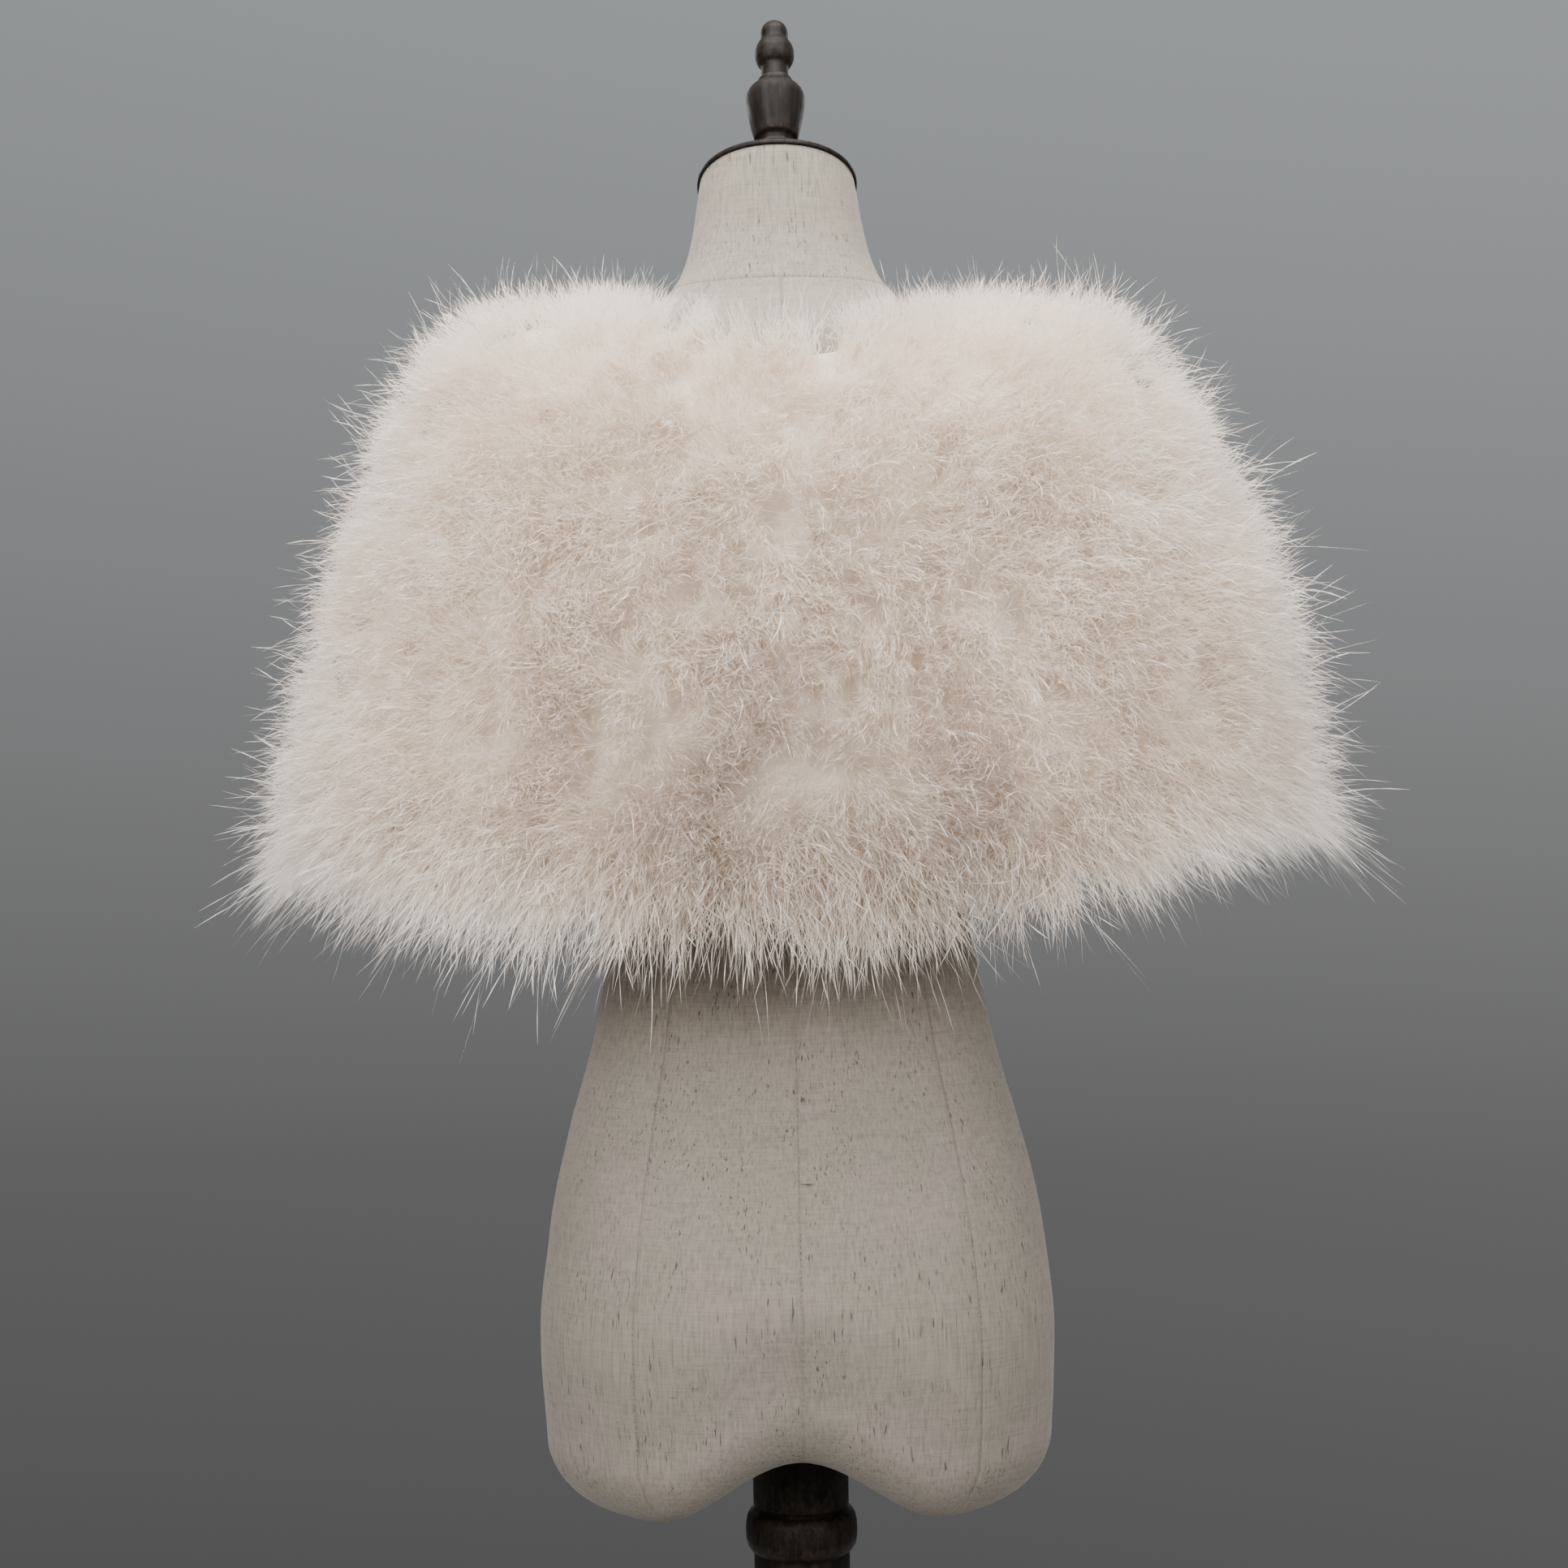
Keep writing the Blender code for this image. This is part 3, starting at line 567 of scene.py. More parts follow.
def grid_quads(rows, columns, closed=False):
    """Quads of a grid of points whose rows run down and whose columns run round, seen from outside."""
    index = np.arange(rows * columns).reshape(rows, columns)
    after = np.roll(index, -1, axis=1) if closed else index[:, 1:]
    here = index if closed else index[:, :-1]
    return np.stack([here[:-1], here[1:], after[1:], after[:-1]], -1).reshape(-1, 4)


def wall_quads(rows, columns):
    """Quads of a closed wall: an outer grid, an inner grid of the same shape, and the strip round both."""
    count = rows * columns
    outer = grid_quads(rows, columns)[:, ::-1]
    index = np.arange(count).reshape(rows, columns)
    rim = np.concatenate([index[0, :-1], index[:-1, -1], index[-1, :0:-1], index[:0:-1, 0]])
    after = np.roll(rim, -1)
    strip = np.stack([rim, rim + count, after + count, after], -1)
    return np.concatenate([outer, outer[:, ::-1] + count, strip])


def loft(name, rings):
    """A closed skin through rings of points from the top one down, with a fan to each end ring's middle."""
    rows, columns = rings.shape[:2]
    middles = np.stack([rings[0].mean(0), rings[-1].mean(0)])
    first = np.arange(columns)
    last = first + (rows - 1) * columns
    top = np.stack([np.full(columns, rows * columns), first, np.roll(first, -1)], -1)
    foot = np.stack([np.full(columns, rows * columns + 1), np.roll(last, -1), last], -1)
    points = np.concatenate([rings.reshape(-1, 3), middles])
    return build_mesh(name, points, grid_quads(rows, columns, closed=True), np.concatenate([top, foot]))


def set_attribute(obj, name, values):
    """A number for each point of the mesh, for a material to read."""
    made = obj.data.attributes.new(name, "FLOAT", "POINT")
    made.data.foreach_set("value", np.asarray(values, np.float32).ravel())


def finish_piece(obj, finish, replaced=()):
    """What every piece gets: its material, its body and the solids it stands for."""
    obj.data.materials.clear()
    obj.data.materials.append(finish)
    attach(obj, BODY)
    if replaced:
        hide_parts(*replaced)


class Shader:
    """A short way to place and join the nodes of one tree."""

    def __init__(self, tree):
        self.tree = tree

    def link(self, socket, target):
        self.tree.links.new(socket, target)

    def node(self, kind, inputs=(), **settings):
        """A node with its settings, and its inputs given by name or number as values or as other sockets."""
        made = self.tree.nodes.new("ShaderNode" + kind)
        for key, value in settings.items():
            setattr(made, key, value)
        for key, value in dict(inputs).items():
            if isinstance(value, bpy.types.NodeSocket):
                self.link(value, made.inputs[key])
            else:
                made.inputs[key].default_value = value
        return made

    def math(self, operation, first, second=0.0):
        return self.node("Math", {0: first, 1: second}, operation=operation).outputs[0]

    def mix(self, share, first, second, blend="MIX"):
        mixer = self.node("Mix", {0: share, 6: first, 7: second}, data_type="RGBA", blend_type=blend)
        return mixer.outputs[2]

    def remap(self, value, low, high, to_low=0.0, to_high=1.0):
        return self.node("MapRange", {0: value, 1: low, 2: high, 3: to_low, 4: to_high}).outputs[0]

    def surface(self, finish):
        """A surface with the given values and sockets, joined to the material's output."""
        solid = self.node("BsdfPrincipled", finish)
        self.node("OutputMaterial", {0: solid.outputs[0]})

    def ramp(self, value, *stops):
        """A colour ramp through (position, colour) stops."""
        made = self.node("ValToRGB", {0: value})
        elements = made.color_ramp.elements
        while len(elements) < len(stops):
            elements.new(1.0)
        for element, (position, colour) in zip(elements, stops):
            element.position = position
            element.color = (*colour[:3], 1.0)
        return made.outputs[0]


def new_material(name):
    """An empty material, and the Shader that fills it."""
    made = bpy.data.materials.new(name)
    made.use_nodes = True
    made.node_tree.nodes.clear()
    return made, Shader(made.node_tree)


def object_place(shader):
    return shader.node("TexCoord").outputs["Object"]


def raised(shader, height, strength, distance):
    """A normal that follows small heights."""
    return shader.node("Bump", {"Strength": strength, "Distance": distance, "Height": height}).outputs[0]


def marabou_material(settings):
    """Barbs read their tint along U, with painted light and shade in it, and their root to tip along V, painted
    darker toward the root as shade deep in the pile. Light passes through them.
    """
    made, shader = new_material("marabou")
    uv = shader.node("UVMap", uv_map=BAKE_MAP)
    tint, along = shader.node("SeparateXYZ", {0: uv.outputs[0]}).outputs[:2]
    tip, deep = np.array(settings.tip), np.array(settings.deep)
    # The lowest tints, which the painted shade reaches, go darker than the deep colour, and the highest, which
    # the painted light reaches, go whiter than the tip.
    colour = shader.ramp(tint, (0.0, deep * 0.72), (0.26, deep * 0.97), (0.60, tip), (1.0, tip * 0.3 + 0.69))
    # Painted shade deep in the pile: toward the root the colour goes halfway to the deep colour.
    rooted = shader.mix(shader.remap(along, 0.0, 0.6, 0.5, 0.0), colour, (*deep, 1.0))
    finish = {"Base Color": rooted, "Roughness": 0.75, "Specular IOR Level": 0.2}
    solid = shader.node("BsdfPrincipled", finish)
    through = shader.node("BsdfTranslucent", {"Color": rooted})
    both = shader.node("MixShader", {0: LIGHT_THROUGH, 1: solid.outputs[0], 2: through.outputs[0]})
    shader.node("OutputMaterial", {0: both.outputs[0]})
    return made


def down_material(settings):
    """The matted down under the barbs: painted shade of the pile's depth, a darker and warmer beige than the
    deep colour, mottled by noise.
    """
    made, shader = new_material("marabou_down")
    place = object_place(shader)
    mottle = shader.node("TexNoise", {"Vector": place, "Scale": 240.0, "Detail": 6.0, "Roughness": 0.7})
    # Painted shade: the down is the deep colour, made warmer and darker, as the shaded depth of the pile.
    shaded = np.array(settings.deep) * DOWN_SHADE_TONE
    colour = shader.ramp(mottle.outputs[0], (0.3, shaded * 0.70), (0.7, shaded * 0.90))
    finish = {"Base Color": colour, "Roughness": 0.95, "Specular IOR Level": 0.1}
    finish["Normal"] = raised(shader, mottle.outputs[0], 0.5, 1.5 * MM)
    shader.surface(finish)
    return made


def fullness(angle, v):
    """How much longer the plumes are at a place than elsewhere: 1 plus bell curves over the angle and v."""
    total = np.ones(np.broadcast(angle, v).shape)
    for full in FULLNESS:
        away = ((angle - full.angle) / full.spread) ** 2 + ((v - full.v) / full.depth) ** 2
        total = total + full.share * np.exp(-away)
    return total


def even_spread(count, rng):
    """Pairs of shares that fill a square evenly: jittered steps by powers of the plastic number."""
    k = np.arange(count)
    spread = np.stack([(0.5 + k / PLASTIC_NUMBER) % 1, (0.5 + k / PLASTIC_NUMBER**2) % 1], -1)
    return (spread + rng.uniform(-0.3, 0.3, spread.shape) / math.sqrt(count)) % 1


def cloth_places(cloth, first, last, count, rng):
    """Angle and v of points spread evenly over the cloth's area, between two angles."""
    share = even_spread(count, rng)
    column = (cloth.angles >= first) & (cloth.angles <= last)
    angles = cloth.angles[column]
    length = cloth.speed_along[:, column].mean(1) * cloth.speed_down[:, column].mean(1)
    below = np.concatenate([[0], np.cumsum((length[1:] + length[:-1]) / 2)])
    v = np.interp(share[:, 1] * below[-1], below, cloth.levels)
    across = (cloth.speed_along * cloth.speed_down)[len(cloth.levels) // 3 :, column].mean(0)
    beside = np.concatenate([[0], np.cumsum((across[1:] + across[:-1]) / 2)])
    return np.interp(share[:, 0] * beside[-1], beside, angles), v


def disc(count, rng):
    """Points spread over a unit disc: the radius is the root of an even draw."""
    turn, radius = rng.uniform(0, 2 * math.pi, count), np.sqrt(rng.uniform(0, 1, count))
    return np.stack([radius * np.cos(turn), radius * np.sin(turn)], -1)


def kept_share(base, away):
    """The share of its length that each barb keeps so that none of its points leaves the plumes' limits."""
    low, high = np.array(PLUME_LIMITS)
    room = np.where(away > 0, high - base[:, None], base[:, None] - low)
    return np.min(np.clip(room / np.maximum(np.abs(away), 1e-6), 0, 1), axis=(1, 2))


def make_locks(cloth, first, last, settings, rng):
    """Locks of barbs between two angles: tufts spread over the cloth, each with its locks in a disc round it.

    Tufts tilt by random draws and by a swirl that neighbours share. A lock tilts with its tuft and away from
    the tuft's middle, and it is shorter at the tuft's edge, where its colour is painted darker as the shade
    between tufts.
    """
    tufts = settings.barbs // (LOCKS_PER_TUFT * BARBS_PER_LOCK)
    angle, v = cloth_places(cloth, first, last, tufts, rng)
    crowded = 1 - (1 - CROWDED_FROM) * ((1 - v) / (1 - CROWDED_FROM)) ** CROWDING
    v = np.where(v > CROWDED_FROM, crowded, v)
    root = cloth.read("points", angle, v)
    swirl = np.stack([rippled(root, each) for each in SWIRL], -1)
    calm = 0.45 + 1.15 * bell(angle / CENTRE_SPREAD)
    tilt = (rng.normal(0, TUFT_TILT, (tufts, 2)) + swirl) * calm[:, None]
    length = rng.uniform(0.95, 1.05, tufts)
    tint = (rippled(root, TINT_RIPPLE) + rng.normal(0, TUFT_TINT, tufts)) * np.minimum(calm, 1)

    tuft = (angle, v, tilt, length, tint)
    angle, v, tilt, length, tint = (np.repeat(each, LOCKS_PER_TUFT, 0) for each in tuft)
    locks = len(v)
    off = disc(locks, rng)
    edge = (off**2).sum(1)
    strewn = 0.7 + 0.8 * bell(angle / CENTRE_SPREAD)[:, None]
    tilt = tilt + strewn * (LOCK_SPLAY * off + rng.normal(0, LOCK_TILT, (locks, 2)))
    length = length * (1 - 0.12 * edge) * rng.uniform(0.88, 1.03, locks)
    # Painted shade: locks at a tuft's edge are darker, as the shade between tufts.
    tint = tint - 0.16 * edge + rng.normal(0, LOCK_TINT, locks)
    bend = rng.normal(0, LOCK_BEND, (locks, 2))
    phase = rng.uniform(0, 2 * math.pi, locks)
    return Locks(angle, v, off, tilt, length, tint, bend, phase, rng.uniform(0.2, 1.0, locks))


def place_tint_and_painted_light(angle, v):
    """How light a place's barbs are, partly as painted light and shade: painted lighter at the sides, neck and
    hem, painted darker in the middle, in folds and low in the middle, where the barbs are also more beige.
    """
    # Painted light: the sides are lighter than the middle value.
    tint = BASE_TINT + SIDE_PAINTED_LIGHT * ease((np.abs(angle) - 40) / 30)
    # Painted light: the neck and hem edges are lighter.
    tint = tint + EDGE_PAINTED_LIGHT * (ease((v - 0.8) / 0.2) + ease((0.2 - v) / 0.2))
    # Painted shade low in the middle, where the barbs are also more beige.
    tint = tint + LOW_SHADE_AND_TINT * ease((v - 0.5) / 0.4) * bell((angle + 4) / 28)
    # Painted shade in the folds.
    tint = tint + FOLD_PAINTED_SHADE * fold_depth(angle, v) * bell(angle / 45)
    # Painted shade over the middle of the back.
    return tint + MIDDLE_PAINTED_SHADE * bell(angle / MIDDLE_SPREAD)


def grow_barbs(cloth, first, last, settings, rng):
    """Centre lines of the barbs between two angles, their directions, the cloth's normals, tint and breadth.

    Each barb starts above the cloth and steps along a direction that is the cloth's normal, plus leans along
    the cloth, plus a droop and a turning curl that both grow along the barb. By the front edges it leans over
    the opening. Flyaways are longer, looser and thinner. Barbs by the neck are moved off the form.
    """
    locks = make_locks(cloth, first, last, settings, rng)
    lock = Locks(*(np.repeat(each, BARBS_PER_LOCK, 0) for each in locks))
    barbs = len(lock.v)
    hem = ease((lock.v - HEM_FROM) / (1 - HEM_FROM))
    off = disc(barbs, rng) * (settings.lock_radius * (1 + 2.5 * hem))[:, None]
    off = off + lock.off * settings.tuft_radius
    angle = lock.angle + off[:, 0] / cloth.read("speed_along", lock.angle, lock.v)
    v = np.clip(lock.v + off[:, 1] / cloth.read("speed_down", angle, lock.v), 0, 1)
    edge = 180 - front_edge(v)
    angle = np.clip(angle, -edge, edge)
    root = cloth.read("points", angle, v)
    normal, down, along = (unit(cloth.read(name, angle, v)) for name in ("normals", "down", "along"))
    centre, middle = bell(angle / CENTRE_SPREAD), bell(angle / MIDDLE_SPREAD)

    flyaway = rng.uniform(0, 1, barbs) < FLYAWAYS
    loose = (0.38 - 0.20 * centre + 0.14 * hem) * np.where(flyaway, 1.8, 1.0)
    tilt = lock.tilt * (1 - 0.35 * hem)[:, None] + rng.normal(0, 1, (barbs, 2)) * loose[:, None]
    by_front = 1 - np.clip(np.radians(edge - np.abs(angle)) * ring_values("wide_left", v) / FRONT_ZONE, 0, 1)
    over_front = FRONT_LEAN * np.sign(angle) * by_front * (0.3 + 1.2 * lock.curl)
    tilt = tilt + np.stack([over_front, read(BARBS, "v", "lean", v)], -1)
    start = normal + along * tilt[:, :1] + down * tilt[:, 1:]
    own_bend = lock.bend + rng.normal(0, BARB_BEND, (barbs, 2))
    bend = 0.6 * (along * own_bend[:, :1] + down * own_bend[:, 1:])
    bend = bend - read(BARBS, "v", "droop", v)[:, None] * UP
    curl = read(BARBS, "v", "curl", v) * (0.35 + 0.65 * middle) * lock.curl * np.where(flyaway, 0.4, 1.0)
    phase = lock.phase + rng.normal(0, BARB_TURN, barbs)

    full = fullness(angle, v)
    reach = lock.length * full * rng.uniform(0.78 - 0.44 * hem, 1.04 + 0.10 * hem, barbs)
    reach = reach * np.where(flyaway, 1.10 + 0.62 * rng.uniform(0, 1, barbs) ** 1.5, 1.0)
    rim = 0.08 + 0.92 * ease(v / 0.20) * ease((1 - v) / 0.24)
    rooted = ROOT_SHARE * full * read(REACHES, "v", "reach", v) * rim
    length = read(BARBS, "v", "length", v) * reach - rooted * 0.8

    t = np.linspace(0, 1, POINTS_PER_BARB)[None, :, None]
    turn = CURL_TURN * t + phase[:, None, None]
    swing = np.cos(turn) * along[:, None] + np.sin(turn) * down[:, None]
    way = unit(start[:, None] + bend[:, None] * t + CURL_SIZE * curl[:, None, None] * t * swing)
    steps = (way[:, 1:] + way[:, :-1]) / 2 * (length / (POINTS_PER_BARB - 1))[:, None, None]
    away = np.concatenate([np.zeros((barbs, 1, 3)), np.cumsum(steps, 1)], 1)
    base = root + normal * (CLOTH + rooted)[:, None]
    line = base[:, None] + away * kept_share(base, away)[:, None, None]
    near = v < NECK_ZONE
    line[near] = off_the_form(line[near], FORM_CLEARANCE, rounds=3)

    tint = place_tint_and_painted_light(angle, v) + lock.tint + rng.normal(0, BARB_TINT, barbs) * (1 + 4 * middle)
    return line, way, normal, np.clip(tint, 0.02, 0.98), np.where(flyaway, 0.55, 1 + 0.45 * middle)


def barbs_to_mesh(name, line, way, normal, tint, broad, settings, rng):
    """Each barb is one strip of triangles whose points step along its line and from side to side of it.

    It narrows to its end by the root of what is left of its length, and U holds its tint, V the way along it.
    """
    barbs, count = line.shape[:2]
    across = unit(np.cross(way, normal[:, None] + settings.twist * rng.normal(size=(barbs, 1, 3))))
    facing = np.sum(np.cross(way, across) * normal[:, None], -1).mean(1)
    across = across * np.where(facing < 0, -1, 1)[:, None, None]
    t = np.linspace(0, 1, count)
    width = settings.width * (1 - t) ** 0.55 * broad[:, None]
    side = np.where(np.arange(count) % 2 == 0, 0.5, -0.5)
    points = line + across * (width * side)[..., None]
    k = np.arange(count - 2)
    odd = k % 2
    strip = np.stack([k + odd, k + 1 - odd, k + 2], -1)
    faces = (np.arange(barbs)[:, None, None] * count + strip).reshape(-1, 3)
    made = build_mesh(name, points, faces, smooth=False)
    uv = np.stack([tint[:, None] + 0.008 * side, np.broadcast_to(t, (barbs, count))], -1)
    set_uv(made, BAKE_MAP, uv)
    return made


def make_down(cloth, panel, columns, rows, finish):
    """The matted down: a closed wall between the cloth's outer face and a share of the plumes' reach.

    It thins out towards the neck, the hem and the front edges, and two ripples make it lumpy.
    """
    angle, v = panel_grid(panel, columns, rows)
    inner = cloth.read("points", angle, v) + unit(cloth.read("normals", angle, v)) * (CLOTH + 0.3 * MM)
    to_front = np.radians(180 - front_edge(v) - np.abs(angle)) * ring_values("wide_left", v)
    rim = ease((v - 0.01) / 0.20) * ease((1 - v) / 0.24) * ease(to_front / 0.04)
    lumps = 1 + sum(rippled(inner, each) for each in DOWN_RIPPLES)
    rise = 0.6 * MM + DOWN_SHARE * fullness(angle, v) * read(REACHES, "v", "reach", v) * rim * lumps
    outer = inner + unit(cloth.read("normals", angle, v)) * rise[..., None]
    made = build_mesh("down_" + panel.name, np.concatenate([outer, inner]), wall_quads(rows, columns))
    finish_piece(made, finish, ["plumes_" + panel.name])


class CAPELET_OT_plumes(bpy.types.Operator):
    """Grow the marabou plumes over the three panels of the capelet"""

    bl_idname = "capelet.plumes"
    bl_label = "Marabou plumes"

    def execute(self, context):
        settings = context.scene.capelet_plumes
        cloth = draped_cloth()
        feather, down = marabou_material(settings), down_material(settings)
        for number, (name, first, last, panel) in enumerate(PLUME_PIECES):
            rng = np.random.default_rng(settings.seed + number)
            line, way, normal, tint, broad = grow_barbs(cloth, first, last, settings, rng)
            made = barbs_to_mesh(name, line, way, normal, tint, broad, settings, rng)
            finish_piece(made, feather, ["plumes_" + panel])
        for panel in PANELS:
            wide = 90 if panel.name == "back" else 46
            make_down(cloth, panel, wide, 40, down)
        return {"FINISHED"}


def add_group(name, inputs, outputs):
    """An empty node group: names of its inputs with their kinds and defaults, and names of its outputs."""
    tree = bpy.data.node_groups.new(name, "ShaderNodeTree")
    for socket, kind, default in inputs:
        made = tree.interface.new_socket(name=socket, in_out="INPUT", socket_type="NodeSocket" + kind)
        if default is not None:
            made.default_value = default
    for socket, kind in outputs:
        tree.interface.new_socket(name=socket, in_out="OUTPUT", socket_type="NodeSocket" + kind)
    shader = Shader(tree)
    return tree, shader, tree.nodes.new("NodeGroupInput").outputs, tree.nodes.new("NodeGroupOutput").inputs


def stretched_noise(shader, place, scale, detail=3.0, roughness=0.6):
    """Noise whose grain has its own size along each axis: the place is scaled before the noise reads it."""
    moved = shader.node("Mapping", {"Vector": place, "Scale": scale})
    grain = {"Vector": moved.outputs[0], "Scale": 1.0, "Detail": detail, "Roughness": roughness}
    return shader.node("TexNoise", grain).outputs[0]


def weave_group():
    """Threads of a plain cloth: upright and level ones as noise drawn out along each, slubs, and dark fibres.

    Upright threads are fine across X and Y and long in Z, level threads the other way round, and their two
    noises are added by shares. Slubs and fibres are noises of the same kinds past a high value.
    """
    tree, shader, given, made = add_group(
        "Thread weave",
        [("Vector", "Vector", None), ("Slubs", "Float", 1.0)],
        [("Height", "Float"), ("Slub", "Float"), ("Fibre", "Float"), ("Patch", "Float")],
    )
    place = given["Vector"]
    upright = stretched_noise(shader, place, (640.0, 640.0, 30.0), 4.0, 0.7)
    level = stretched_noise(shader, place, (48.0, 48.0, 820.0), 4.0, 0.7)
    thick = stretched_noise(shader, place, (650.0, 650.0, 24.0), 4.0, 0.65)
    thick_level = stretched_noise(shader, place, (34.0, 34.0, 700.0), 4.0, 0.65)
    both = shader.math("ADD", shader.math("MULTIPLY", upright, 0.64), shader.math("MULTIPLY", level, 0.36))
    shader.link(both, made["Height"])
    level_slub = shader.remap(thick_level, 0.64, 0.80, 0.0, 0.5)
    slub = shader.math("MAXIMUM", shader.remap(thick, 0.55, 0.70), level_slub)
    shader.link(shader.math("MULTIPLY", slub, given["Slubs"]), made["Slub"])
    fibre = stretched_noise(shader, place, (760.0, 760.0, 52.0), 2.0, 0.5)
    level_fibre = stretched_noise(shader, place, (85.0, 85.0, 900.0), 3.0, 0.6)
    spread = stretched_noise(shader, place, (48.0, 48.0, 30.0), 1.0, 0.5)
    here, elsewhere = shader.remap(spread, 0.42, 0.58), shader.remap(spread, 0.58, 0.44)
    upright_dark = shader.math("MULTIPLY", shader.remap(fibre, 0.625, 0.69), here)
    level_dark = shader.math("MULTIPLY", shader.remap(level_fibre, 0.675, 0.74), elsewhere)
    dark = shader.math("MAXIMUM", upright_dark, shader.math("MULTIPLY", level_dark, 0.7))
    shader.link(dark, made["Fibre"])
    shader.link(stretched_noise(shader, place, (16.0, 16.0, 12.0), 3.0, 0.5), made["Patch"])
    return tree


def linen_material(settings, weave):
    """Natural linen: the threads' light and dark, slubs, patches, stray fibres, and the faint marks."""
    made, shader = new_material("linen")
    place = object_place(shader)
    threads = shader.node("Group", {"Vector": place}, node_tree=weave)
    linen, slub = np.array(settings.linen), np.array(settings.slub)
    tone = shader.ramp(threads.outputs["Height"], (0.38, linen * 0.78), (0.5, linen), (0.62, linen * 1.15))
    patch = shader.ramp(threads.outputs["Patch"], (0.3, (0.94, 0.97, 0.93)), (0.7, (1.06, 1.02, 1.04)))
    tone = shader.mix(1.0, tone, patch, "MULTIPLY")
    tone = shader.mix(shader.math("MULTIPLY", threads.outputs["Slub"], 0.55), tone, (*slub, 1.0))
    tone = shader.mix(shader.math("MULTIPLY", threads.outputs["Fibre"], 0.85), tone, (*(slub * 0.35), 1.0))
    seam = shader.node("Attribute", attribute_name="seam").outputs["Fac"]
    # The linen is darker along the seams' grooves.
    tone = shader.mix(shader.math("MULTIPLY", seam, 0.22), tone, (*(slub * 0.7), 1.0))
    for centre, size, colour, share in MARKS:
        inside = shader.node("VectorMath", {0: place, 1: centre}, operation="SUBTRACT").outputs[0]
        inside = shader.node("VectorMath", {0: inside, 1: size}, operation="DIVIDE").outputs[0]
        away = shader.node("VectorMath", {0: inside}, operation="LENGTH").outputs["Value"]
        tone = shader.mix(shader.remap(away, 0.55, 1.0, share, 0.0), tone, (*colour, 1.0))
    finish = {"Base Color": tone, "Roughness": 0.92, "Specular IOR Level": 0.25}
    finish.update({"Sheen Weight": 0.12, "Sheen Roughness": 0.5})
    finish["Normal"] = raised(shader, threads.outputs["Height"], 0.5, 0.35 * MM)
    shader.surface(finish)
    return made


def knit_material(settings, weave):
    """The capelet's ground cloth, a fine beige knit."""
    made, shader = new_material("ground_knit")
    place = object_place(shader)
    threads = shader.node("Group", {"Vector": place}, node_tree=weave)
    knit = np.array(settings.knit)
    tone = shader.ramp(threads.outputs["Height"], (0.36, knit * 0.82), (0.5, knit), (0.64, knit * 1.1))
    finish = {"Base Color": tone, "Roughness": 0.95}
    finish["Normal"] = raised(shader, threads.outputs["Height"], 0.6, 0.5 * MM)
    shader.surface(finish)
    return made


def grain_group():
    """Stained wood: streaks drawn out along Z, fine pores, and worn places from the edge number and noise."""
    tree, shader, given, made = add_group(
        "Turned wood grain",
        [("Vector", "Vector", None), ("Edge", "Float", 0.0), ("Wear", "Float", 0.5)],
        [("Grain", "Float"), ("Pores", "Float"), ("Worn", "Float"), ("Smudge", "Float")],
    )
    place = given["Vector"]
    shader.link(stretched_noise(shader, place, (260.0, 260.0, 14.0), 5.0, 0.65), made["Grain"])
    pores = stretched_noise(shader, place, (1700.0, 1700.0, 90.0), 2.0, 0.6)
    shader.link(shader.remap(pores, 0.60, 0.70), made["Pores"])
    rubbed = stretched_noise(shader, place, (240.0, 240.0, 130.0), 5.0, 0.75)
    edge = shader.math("MULTIPLY", given["Edge"], shader.remap(rubbed, 0.40, 0.62))
    flat = shader.math("MULTIPLY", shader.remap(rubbed, 0.60, 0.74), given["Wear"])
    shader.link(shader.math("MAXIMUM", edge, flat), made["Worn"])
    shader.link(stretched_noise(shader, place, (70.0, 70.0, 40.0), 4.0, 0.6), made["Smudge"])
    return tree


def wood_material(name, settings, grain, tilt, wear):
    """Dark stained wood under a satin varnish. Its grain runs along the piece's axis, tilted about X."""
    made, shader = new_material(name)
    place = object_place(shader)
    place = shader.node("Mapping", {"Vector": place, "Rotation": (-tilt, 0.0, 0.0)}).outputs[0]
    edge = shader.node("Attribute", attribute_name="edge").outputs["Fac"]
    group = shader.node("Group", {"Vector": place, "Edge": edge, "Wear": wear}, node_tree=grain)
    wood, worn = np.array(settings.wood), np.array(settings.worn)
    tone = shader.ramp(group.outputs["Grain"], (0.34, wood * 0.35), (0.5, wood), (0.66, wood * 2.6))
    tone = shader.mix(group.outputs["Worn"], tone, (*worn, 1.0))
    tone = shader.mix(shader.math("MULTIPLY", group.outputs["Pores"], 0.7), tone, (*(wood * 0.25), 1.0))
    rough = shader.remap(group.outputs["Smudge"], 0.35, 0.65, 0.42, 0.68)
    finish = {"Base Color": tone, "Roughness": rough, "Specular IOR Level": 0.14}
    finish["Normal"] = raised(shader, group.outputs["Grain"], 0.35, 0.4 * MM)
    shader.surface(finish)
    return made


def steel_material():
    """Bright bent wire with fine drawn scratches."""
    made, shader = new_material("hook_steel")
    place = object_place(shader)
    scratch = stretched_noise(shader, place, (900.0, 6000.0, 6000.0))
    rough = shader.remap(scratch, 0.3, 0.7, 0.22, 0.42)
    tone = shader.ramp(scratch, (0.3, (0.50, 0.50, 0.48)), (0.7, (0.66, 0.66, 0.64)))
    shader.surface({"Base Color": tone, "Metallic": 1.0, "Roughness": rough})
    return made


def notch(x):
    """How far the underside rises at x: half a cosine wave across the groove from front to back."""
    across = np.minimum(np.abs(x) / NOTCH_HALF_WIDTH, 1)
    return NOTCH_HEIGHT * (0.5 + 0.5 * np.cos(math.pi * across))


